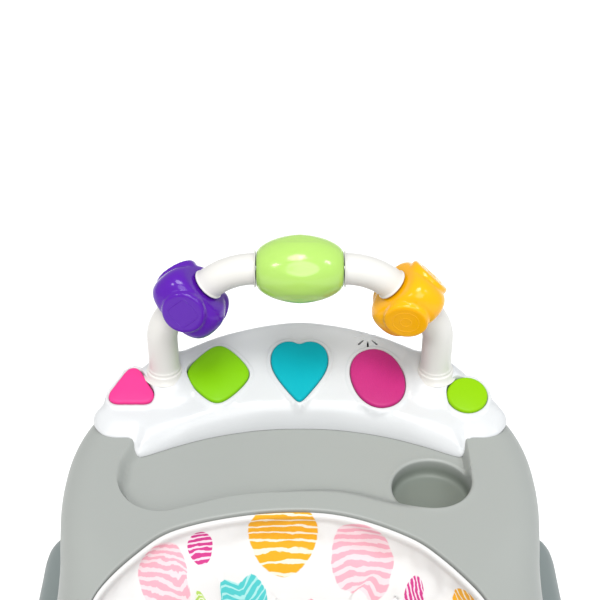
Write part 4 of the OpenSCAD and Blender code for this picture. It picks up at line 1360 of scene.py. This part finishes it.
def spot_tree():
    """Node group: lays one striped spot over a colour."""
    g = bpy.data.node_groups.new("striped_spot", "ShaderNodeTree")
    I = g.interface
    for nm, kind in (("Colour", "NodeSocketColor"), ("Place", "NodeSocketVector"), ("Wander", "NodeSocketFloat"), ("Centre", "NodeSocketVector"),
                     ("Size", "NodeSocketVector"), ("Across", "NodeSocketVector"), ("Ink", "NodeSocketColor"), ("Pale", "NodeSocketColor"), ("Rows", "NodeSocketFloat"), ("Cover", "NodeSocketFloat")):
        I.new_socket(nm, in_out="INPUT", socket_type=kind)
    I.new_socket("Colour", in_out="OUTPUT", socket_type="NodeSocketColor")
    gi, go = N(g, "NodeGroupInput"), N(g, "NodeGroupOutput")
    rel = N(g, "ShaderNodeVectorMath", operation="SUBTRACT")
    L(g, gi.outputs["Place"], rel.inputs[0])
    L(g, gi.outputs["Centre"], rel.inputs[1])
    div = N(g, "ShaderNodeVectorMath", operation="DIVIDE")
    L(g, rel.outputs[0], div.inputs[0])
    L(g, gi.outputs["Size"], div.inputs[1])
    ln = N(g, "ShaderNodeVectorMath", operation="LENGTH")
    L(g, div.outputs[0], ln.inputs[0])
    edge = math_node(g, "MULTIPLY_ADD", gi.outputs["Wander"], 0.07, ln.outputs["Value"])
    inside = N(g, "ShaderNodeMapRange")
    inside.inputs["From Min"].default_value = 1.05
    inside.inputs["From Max"].default_value = 1.02
    L(g, edge, inside.inputs["Value"])
    dot = N(g, "ShaderNodeVectorMath", operation="DOT_PRODUCT")
    L(g, rel.outputs[0], dot.inputs[0])
    L(g, gi.outputs["Across"], dot.inputs[1])
    wav = math_node(g, "MULTIPLY_ADD", gi.outputs["Wander"], 0.0052, dot.outputs["Value"])
    ph = math_node(g, "MULTIPLY", wav, gi.outputs["Rows"])
    sn = math_node(g, "SINE", ph)
    th = math_node(g, "SUBTRACT", sn, gi.outputs["Cover"])
    line = N(g, "ShaderNodeMapRange")
    line.inputs["From Min"].default_value = -0.10
    line.inputs["From Max"].default_value = 0.16
    L(g, th, line.inputs["Value"])
    mx = N(g, "ShaderNodeMix", data_type="RGBA")
    L(g, line.outputs["Result"], mx.inputs[0])
    L(g, gi.outputs["Ink"], mx.inputs[6])
    L(g, gi.outputs["Pale"], mx.inputs[7])
    mo = N(g, "ShaderNodeMix", data_type="RGBA")
    L(g, inside.outputs["Result"], mo.inputs[0])
    L(g, gi.outputs["Colour"], mo.inputs[6])
    L(g, mx.outputs[2], mo.inputs[7])
    L(g, mo.outputs[2], go.inputs[0])
    return g


SPOT = spot_tree()
INK = {"orange": (lin(250, 178, 30), lin(255, 244, 220)), "pink": (lin(251, 182, 196), lin(254, 226, 230)), "teal": (lin(84, 206, 206), lin(176, 236, 232)),
       "magenta": (lin(214, 62, 142), lin(252, 226, 238)), "rose": (lin(244, 164, 168), lin(253, 228, 228)), "lime": (lin(186, 220, 100), lin(238, 247, 214)),
       "yellow": (lin(250, 224, 84), lin(255, 248, 214)), "aqua": (lin(110, 212, 200), lin(226, 247, 243))}


def cloth_print(name, spots, uv=None, plane=None):
    """Warm white woven cloth with hand-drawn striped spots; spots are (x, y, half width, half height, stripe turn, ink)."""
    m, t, b = nodes_of(name)
    if uv:
        n = N(t, "ShaderNodeUVMap")
        n.uv_map = uv
        place = n.outputs["UV"]
    else:
        co = N(t, "ShaderNodeTexCoord").outputs["Object"]
        sp = N(t, "ShaderNodeSeparateXYZ")
        L(t, co, sp.inputs[0])
        cb = N(t, "ShaderNodeCombineXYZ")
        L(t, sp.outputs[plane[0]], cb.inputs[0])
        L(t, sp.outputs[plane[1]], cb.inputs[1])
        place = cb.outputs[0]
    st = N(t, "ShaderNodeMapping")
    st.inputs["Scale"].default_value = (26.0, 95.0, 1.0)
    L(t, place, st.inputs["Vector"])
    wn = noise(t, st.outputs["Vector"], 1.0, 3.0, 0.55, 0.0)
    wander = math_node(t, "SUBTRACT", wn.outputs["Fac"], 0.5)
    wander = math_node(t, "MULTIPLY", wander, 2.0)
    slow = noise(t, place, 9.0, 2.0)
    col = ramp(t, slow.outputs["Fac"], [(0.3, lin(246, 244, 241)), (0.75, lin(241, 240, 238))])
    for x, y, w, h, turn_, ink in spots:
        g = N(t, "ShaderNodeGroup")
        g.node_tree = SPOT
        L(t, col, g.inputs["Colour"])
        L(t, place, g.inputs["Place"])
        L(t, wander, g.inputs["Wander"])
        g.inputs["Centre"].default_value = (x * MM, y * MM, 0)
        g.inputs["Size"].default_value = (w * MM, h * MM, 1.0)
        a = math.radians(turn_)
        g.inputs["Across"].default_value = (-math.sin(a), math.cos(a), 0)
        g.inputs["Ink"].default_value = (*INK[ink][0], 1)
        g.inputs["Pale"].default_value = (*INK[ink][1], 1)
        g.inputs["Rows"].default_value = 2 * math.pi / ((8.2 if w > 30 else 6.6 if w > 20 else 4.6) * MM)
        g.inputs["Cover"].default_value = {"orange": 0.62, "teal": 0.42, "aqua": 0.40, "pink": 0.12, "rose": 0.2}.get(ink, 0.35)
        col = g.outputs[0]
    dim = N(t, "ShaderNodeMix", data_type="RGBA", blend_type="MULTIPLY")
    dim.inputs[0].default_value = 1.0
    L(t, col, dim.inputs[6])
    dim.inputs[7].default_value = (0.655, 0.655, 0.665, 1)
    L(t, dim.outputs[2], b.inputs["Base Color"])
    # plain weave, a little nap and broad softness
    wv = []
    for ax in (0, 1):
        w = N(t, "ShaderNodeTexWave")
        w.wave_type = "BANDS"
        w.bands_direction = "X" if ax == 0 else "Y"
        w.inputs["Scale"].default_value = 380.0
        w.inputs["Distortion"].default_value = 0.8
        w.inputs["Detail"].default_value = 1.0
        L(t, place, w.inputs["Vector"])
        wv.append(w.outputs["Fac"])
    weave = math_node(t, "MULTIPLY", wv[0], wv[1])
    bp = N(t, "ShaderNodeBump")
    bp.inputs["Strength"].default_value = 0.14
    bp.inputs["Distance"].default_value = 0.0004
    L(t, weave, bp.inputs["Height"])
    nap = noise(t, place, 120.0, 4.0, 0.65)
    bp2 = N(t, "ShaderNodeBump")
    bp2.inputs["Strength"].default_value = 0.08
    bp2.inputs["Distance"].default_value = 0.0012
    L(t, nap.outputs["Fac"], bp2.inputs["Height"])
    L(t, bp.outputs["Normal"], bp2.inputs["Normal"])
    L(t, bp2.outputs["Normal"], b.inputs["Normal"])
    rr = N(t, "ShaderNodeMapRange")
    rr.inputs["To Min"].default_value = 0.72
    rr.inputs["To Max"].default_value = 0.9
    L(t, nap.outputs["Fac"], rr.inputs["Value"])
    L(t, rr.outputs["Result"], b.inputs["Roughness"])
    b.inputs["Specular IOR Level"].default_value = 0.25
    b.inputs["Sheen Weight"].default_value = 0.12
    b.inputs["Sheen Roughness"].default_value = 0.5
    b.inputs["Subsurface Weight"].default_value = 0.12
    b.inputs["Subsurface Radius"].default_value = (1.0, 1.0, 1.0)
    b.inputs["Subsurface Scale"].default_value = 0.003
    return m


SEAT_SPOTS = [
    (-16, 24, 37, 36, 2, "orange"), (74, 40, 34, 35, -14, "pink"), (-66, 92, 27, 31, -22, "teal"), (-108, 27, 14, 15, 6, "magenta"), (143, 52, 13, 15, 40, "magenta"),
    (16, 101, 13, 14, 4, "rose"), (-124, 84, 13, 16, 22, "lime"), (84, 106, 12, 15, 34, "lime"), (-160, 38, 30, 32, 30, "pink"), (130, 128, 28, 29, -18, "aqua"),
    (214, 36, 22, 24, 30, "orange"), (-222, 62, 22, 23, -30, "yellow"), (186, 92, 14, 14, 10, "rose"), (-176, 112, 26, 27, -12, "aqua"), (36, 168, 33, 34, 12, "orange"),
    (-22, 152, 15, 16, -20, "magenta"), (-104, 168, 34, 33, 16, "pink"), (232, 122, 30, 31, -20, "teal"), (268, 50, 14, 15, 0, "lime"), (300, 104, 33, 34, 14, "pink"),
    (-276, 112, 32, 33, 10, "orange"), (-262, 30, 13, 14, 30, "magenta"), (-318, 44, 26, 27, -16, "teal"), (-352, 118, 14, 15, 0, "rose"), (356, 42, 30, 31, 18, "orange"),
    (366, 128, 26, 28, -14, "aqua"), (-404, 60, 32, 33, 8, "pink"), (-430, 140, 24, 25, -20, "lime"), (424, 96, 15, 16, 24, "magenta"), (470, 44, 28, 29, 0, "teal"),
    (-480, 96, 16, 16, 0, "orange"), (120, 196, 15, 15, 0, "lime"), (-210, 184, 28, 29, 24, "yellow"), (206, 196, 32, 32, 4, "rose"), (-40, 214, 22, 22, 0, "teal"), (300, 190, 26, 26, 12, "lime")]
M["seat"] = cloth_print("seat_cotton", SEAT_SPOTS, uv="print")
M["binding"] = plastic("binding_tape", lin(243, 241, 238), lin(236, 235, 232), rough=0.8, spread=0.08, grain=0.25, grain_scale=700, spec=0.25)
finish_piece(seat, "seat", "seat_print", M["seat"], "seat_fabric")
for lp in leg_loops:
    side = "left" if lp[:, 0].mean() < 0 else "right"
    tb = tube_round("leg_binding_" + side, lp, 2.3, 3.4)
    finish_piece(tb, "seat", "seat_print", M["binding"])

WHEEL_X = 262.0
# ------------------------------------------------------------------ console's inner plate
def make_plate():
    o = offset(CON, 8.0)
    o[:, 1] = np.maximum(o[:, 1], 215.0)
    o = ccw(even(o, 5.0))
    B = Build()
    rings = [np.c_[offset(o, d), np.full(len(o), z)] for d, z in ((8, 400.5), (0.6, 400.5), (0, 401.1), (0, 401.8), (0.6, 402.4), (8, 402.4))]
    B.grid(rings, cap0=True, cap1=True)
    return B.make("console_plate", 30)


finish_piece(make_plate(), "tray", "white_plastic", M["white"], "console_base")

# ------------------------------------------------------------------ base ring
def base_height(P):
    do = np.maximum(signed(P, BASE_O), 0)
    di = np.maximum(-signed(P, BASE_I), 0)
    z = np.full(len(P), 100.0)
    R, H = 26.0, 24.0
    u = np.clip(1 - do / R, 0, 1)
    z -= H * (1 - np.sqrt(np.maximum(1 - u * u, 0)))
    R, H = 12.0, 11.0
    u = np.clip(1 - di / R, 0, 1)
    z -= H * (1 - np.sqrt(np.maximum(1 - u * u, 0)))
    # a shallow moulded channel that runs round the ring
    z -= 1.3 * (1 - smooth((np.abs(do - 40.0) - 1.2) / 1.6)) * (di > 22)
    return z


def make_base():
    B = Build()
    outs = [offset(BASE_O, d) for d in (0.7, 2.2, 4.6, 8, 12, 17, 22, 26, 36.5, 38.4, 40, 41.6, 43.5)]
    ins = [offset(BASE_I, -d) for d in (0.5, 1.6, 3.4, 6, 9, 12)]
    P, F = sheet_cdt_points(BASE_O, [BASE_I], outs[:8] + ins, outs[8:], 10.0)
    B.add(np.c_[P, base_height(P)], F)
    zo, zi = base_height(BASE_O), base_height(BASE_I)
    n, m = len(BASE_O), len(BASE_I)
    B.grid([np.c_[BASE_O, zo], np.c_[BASE_O, 0.5 * zo + 0.5 * 36], np.c_[BASE_O, np.full(n, 36.0)], np.c_[offset(BASE_O, 0.8), np.full(n, 33.2)],
            np.c_[offset(BASE_O, 2.4), np.full(n, 32.2)], np.c_[offset(BASE_O, 4.0), np.full(n, 32.6)]], flip=True)
    B.grid([np.c_[BASE_I, zi], np.c_[BASE_I, 0.5 * zi + 0.5 * 36], np.c_[BASE_I, np.full(m, 36.0)], np.c_[offset(BASE_I, -0.8), np.full(m, 33.2)],
            np.c_[offset(BASE_I, -2.4), np.full(m, 32.2)], np.c_[offset(BASE_I, -4.0), np.full(m, 32.6)]])
    return B.make("base_ring_shell", 40)


base = make_base()
solidify(base, 2.8)
finish_piece(base, "base", "base_plastic", M["base"], "base_shell")
bosses = Build()
for sx in (-1, 1):
    c = (sx * WHEEL_X, 215.0)
    bosses.grid([np.c_[circle(c, r, 48), np.full(48, z)] for r, z in ((6.1, 62), (6.1, 60.3), (6.5, 60), (11.4, 60), (12, 60.8), (12, 97.5), (6.1, 97.5), (6.1, 62))])
finish_piece(bosses.make("caster_bosses", 30), "base", "base_plastic", M["base"])

# ------------------------------------------------------------------ padded back rest
PAD_SPOTS = [(-84, 410, 24, 24, 10, "pink"), (-30, 432, 26, 27, -12, "orange"), (34, 404, 22, 23, 24, "teal"), (82, 440, 24, 25, 0, "lime"), (4, 470, 15, 15, 30, "magenta"),
             (-70, 466, 17, 18, -20, "aqua"), (58, 474, 20, 20, 10, "rose"), (96, 398, 13, 13, 0, "magenta"), (-44, 394, 12, 12, 0, "yellow"), (-108, 446, 14, 15, 0, "orange"), (112, 474, 14, 14, 0, "yellow")]
M["pad"] = cloth_print("pad_cotton", PAD_SPOTS, plane=(0, 2))


def pad_front(x):
    return np.interp(np.abs(x), (0, 60, 112, 118), (-262, -259, -250, -262))


def pad_back(x):
    return np.interp(np.abs(x), (0, 90, 118), (-291.5, -285.5, -276))


def make_pad():
    """Starts a little small, and the simulation swells it."""
    n, m = 25, 12
    X = np.linspace(-112, 112, n)
    B = Build()
    rings = []
    for i, x in enumerate(X):
        e = 1 - max(abs(x) - 92, 0) ** 2 / 20.0 ** 2 * 0.55
        yf, yb = float(np.interp(abs(x), (0, 60, 112), (-265, -262, -256))), float(np.interp(abs(x), (0, 90, 112), (-288, -282.5, -276)))
        if abs(x) > 104:
            mid = (yf + yb) / 2
            yf, yb = mid + 4, mid - 4
        z0, z1 = 390 + (1 - e) * 22, 486 - (1 - e) * 22
        q = []
        for t in np.linspace(0, 1, m):
            q.append((x, yf, z0 + (z1 - z0) * t))
        for t in np.linspace(0, 1, m):
            q.append((x, yb, z1 + (z0 - z1) * t))
        rings.append(q)
    B.grid(rings, cap0=True, cap1=True)
    return B.make("back_pad", None)


pad = make_pad()
md = pad.modifiers.new("remesh", "REMESH")
md.mode = "VOXEL"
md.voxel_size = 4.5 * MM
baked(pad)
start = arr([v.co for v in pad.data.vertices])
# the sewn channels hold the faces together
hold = []
for i, p in enumerate(start / MM):
    for cx in (-58.0, 0.0, 58.0):
        if abs(p[0] - cx) < 2.6 and 402 < p[2] < 474:
            hold.append(i)
vg = pad.vertex_groups.new(name="sewn")
vg.add(hold, 1.0, "REPLACE")
mod = pad.modifiers.new("cloth", "CLOTH")
cs = mod.settings
cs.quality = 6
cs.mass = 0.25
cs.tension_stiffness = 14
cs.compression_stiffness = 12
cs.shear_stiffness = 5
cs.bending_stiffness = 0.5
cs.use_pressure = True
cs.uniform_pressure_force = 4.0
cs.vertex_group_mass = "sewn"
cs.effector_weights.gravity = 0.0
mod.collision_settings.use_collision = False
for f in range(1, 21):
    scene.frame_set(f)
dg = bpy.context.evaluated_depsgraph_get()
end = arr([v.co for v in pad.evaluated_get(dg).data.vertices])
pad.modifiers.clear()
scene.frame_set(1)
d = end - start
ln = np.linalg.norm(d, axis=1)
k = np.where(ln > 0.007, 0.007 / np.maximum(ln, 1e-9), 1.0)
end = start + d * k[:, None]
end[:, 1] = np.maximum(end[:, 1], -0.2925)
pad.data.vertices.foreach_set("co", end.reshape(-1))
pad.data.update()
print("pad moved", round(float(ln.max()), 4))
md = pad.modifiers.new("sub", "SUBSURF")
md.levels = 1
baked(pad)
pad.data.shade_smooth()
finish_piece(pad, "seat", "seat_print", M["pad"], "seat_back_pad")
# piping round the edge
edge = []
for k in range(120):
    t = 2 * math.pi * k / 120
    cs_, sn_ = math.cos(t), math.sin(t)
    x = 114.5 * math.copysign(abs(cs_) ** (2 / 7), cs_)
    z = 438 + 50.0 * math.copysign(abs(sn_) ** (2 / 5), sn_)
    y = (float(np.interp(abs(x), (0, 60, 112, 118), (-265, -262, -256, -258))) + float(np.interp(abs(x), (0, 90, 118), (-288, -282.5, -274)))) / 2
    edge.append((x, y, z))
pipe = tube_round("pad_piping", arr(edge), 2.0, 2.0, 10, 3.0)
finish_piece(pipe, "seat", "seat_print", M["binding"])

# ------------------------------------------------------------------ bounce springs
def make_springs():
    B = Build()
    for bx, by in ((116.8, 33.9), (-133.6, 42.4), (169.4, -258.8), (-170.3, -258.7)):
        n = 6 * 22
        t = np.arange(n + 1) / n
        ang = 2 * math.pi * 6 * t
        # closed ends: the first and last turns lie flatter
        zt = 342.9 + 30.2 * (0.06 * smooth(t / 0.12) + 0.88 * t + 0.06 * smooth((t - 0.88) / 0.12))
        c = np.c_[bx + 5.6 * np.cos(ang), by + 5.6 * np.sin(ang), zt]
        tan = np.gradient(c, axis=0)
        tan /= np.linalg.norm(tan, axis=1)[:, None]
        rad = np.c_[np.cos(ang), np.sin(ang), np.zeros(n + 1)]
        bi = np.cross(tan, rad)
        rings = [c + 0.75 * (rad * math.cos(2 * math.pi * k / 8) + bi * math.sin(2 * math.pi * k / 8)) for k in range(8)]
        R = np.array(rings).transpose(1, 0, 2)
        B.grid(list(R), cap0=True, cap1=True)
    return B.make("bounce_coils", None, weld=0.001)


coils = make_springs()
finish_piece(coils, "tray", "steel", M["steel"], "bounce_springs")
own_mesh(coils)

# ------------------------------------------------------------------ frame pieces that stay as they are
SLOT_OF = {p["node"]: p["material_slot"] for p in frame["record"]["subparts"]}
BY_NODE = {"seat_ring": "white"}
for name, ob in frame["nodes"].items():
    mat = M[BY_NODE.get(name, CAD_MAT[SLOT_OF[name]])]
    ob.data.materials.clear()
    ob.data.materials.append(mat)
    ob.data.shade_smooth()
    ob.data.set_sharp_from_angle(angle=math.radians(32))

# ------------------------------------------------------------------ floor and light
def make_floor():
    m, t, b = nodes_of("floor_pale")
    co = N(t, "ShaderNodeTexCoord").outputs["Object"]
    n = noise(t, co, 1.2, 3.0)
    L(t, ramp(t, n.outputs["Fac"], [(0.2, (0.93, 0.93, 0.935)), (0.8, (0.95, 0.95, 0.95))]), b.inputs["Base Color"])
    b.inputs["Roughness"].default_value = 0.8
    b.inputs["Specular IOR Level"].default_value = 0.2
    me = bpy.data.meshes.new("floor")
    s = 6.0
    me.from_pydata([(-s, -s, 0), (s, -s, 0), (s, s, 0), (-s, s, 0)], [], [(0, 1, 2, 3)])
    ob = bpy.data.objects.new("floor", me)
    scene.collection.objects.link(ob)
    ob.data.materials.append(m)


make_floor()
world = bpy.data.worlds.new("studio")
scene.world = world
world.use_nodes = True
bg = world.node_tree.nodes["Background"]
bg.inputs["Color"].default_value = (0.97, 0.985, 1.0, 1)
bg.inputs["Strength"].default_value = 0.66
scene.view_settings.view_transform = "Standard"


def area_light(name, at, to, size, power, col=(1, 1, 1)):
    d = bpy.data.lights.new(name, "AREA")
    d.shape = "RECTANGLE"
    d.size, d.size_y = size
    d.energy = power
    d.color = col
    ob = bpy.data.objects.new(name, d)
    scene.collection.objects.link(ob)
    ob.location = at
    v = Vector(to) - Vector(at)
    ob.rotation_euler = v.to_track_quat("-Z", "Y").to_euler()
    return ob


def sun(name, frm, power, soft, col=(1, 1, 1)):
    d = bpy.data.lights.new(name, "SUN")
    d.energy = power
    d.angle = math.radians(soft)
    d.color = col
    ob = bpy.data.objects.new(name, d)
    scene.collection.objects.link(ob)
    ob.rotation_euler = (-Vector(frm)).to_track_quat("-Z", "Y").to_euler()
    return ob


sun("key", (-0.16, -0.50, 1.5), 1.6, 26, (1.0, 0.995, 0.98))
sun("front", (0.15, -1.3, 0.9), 1.6, 40, (1.0, 1.0, 1.0))
area_light("left box", (-1.35, -0.85, 1.95), (0, 0.05, 0.45), (0.34, 0.42), 7.5, (1.0, 0.97, 0.90))
area_light("right box", (1.35, -0.35, 1.85), (0, 0.05, 0.45), (0.34, 0.45), 6, (0.88, 0.96, 1.0))
area_light("top box", (0.15, -0.25, 2.4), (0, 0.1, 0.45), (0.5, 0.5), 8)
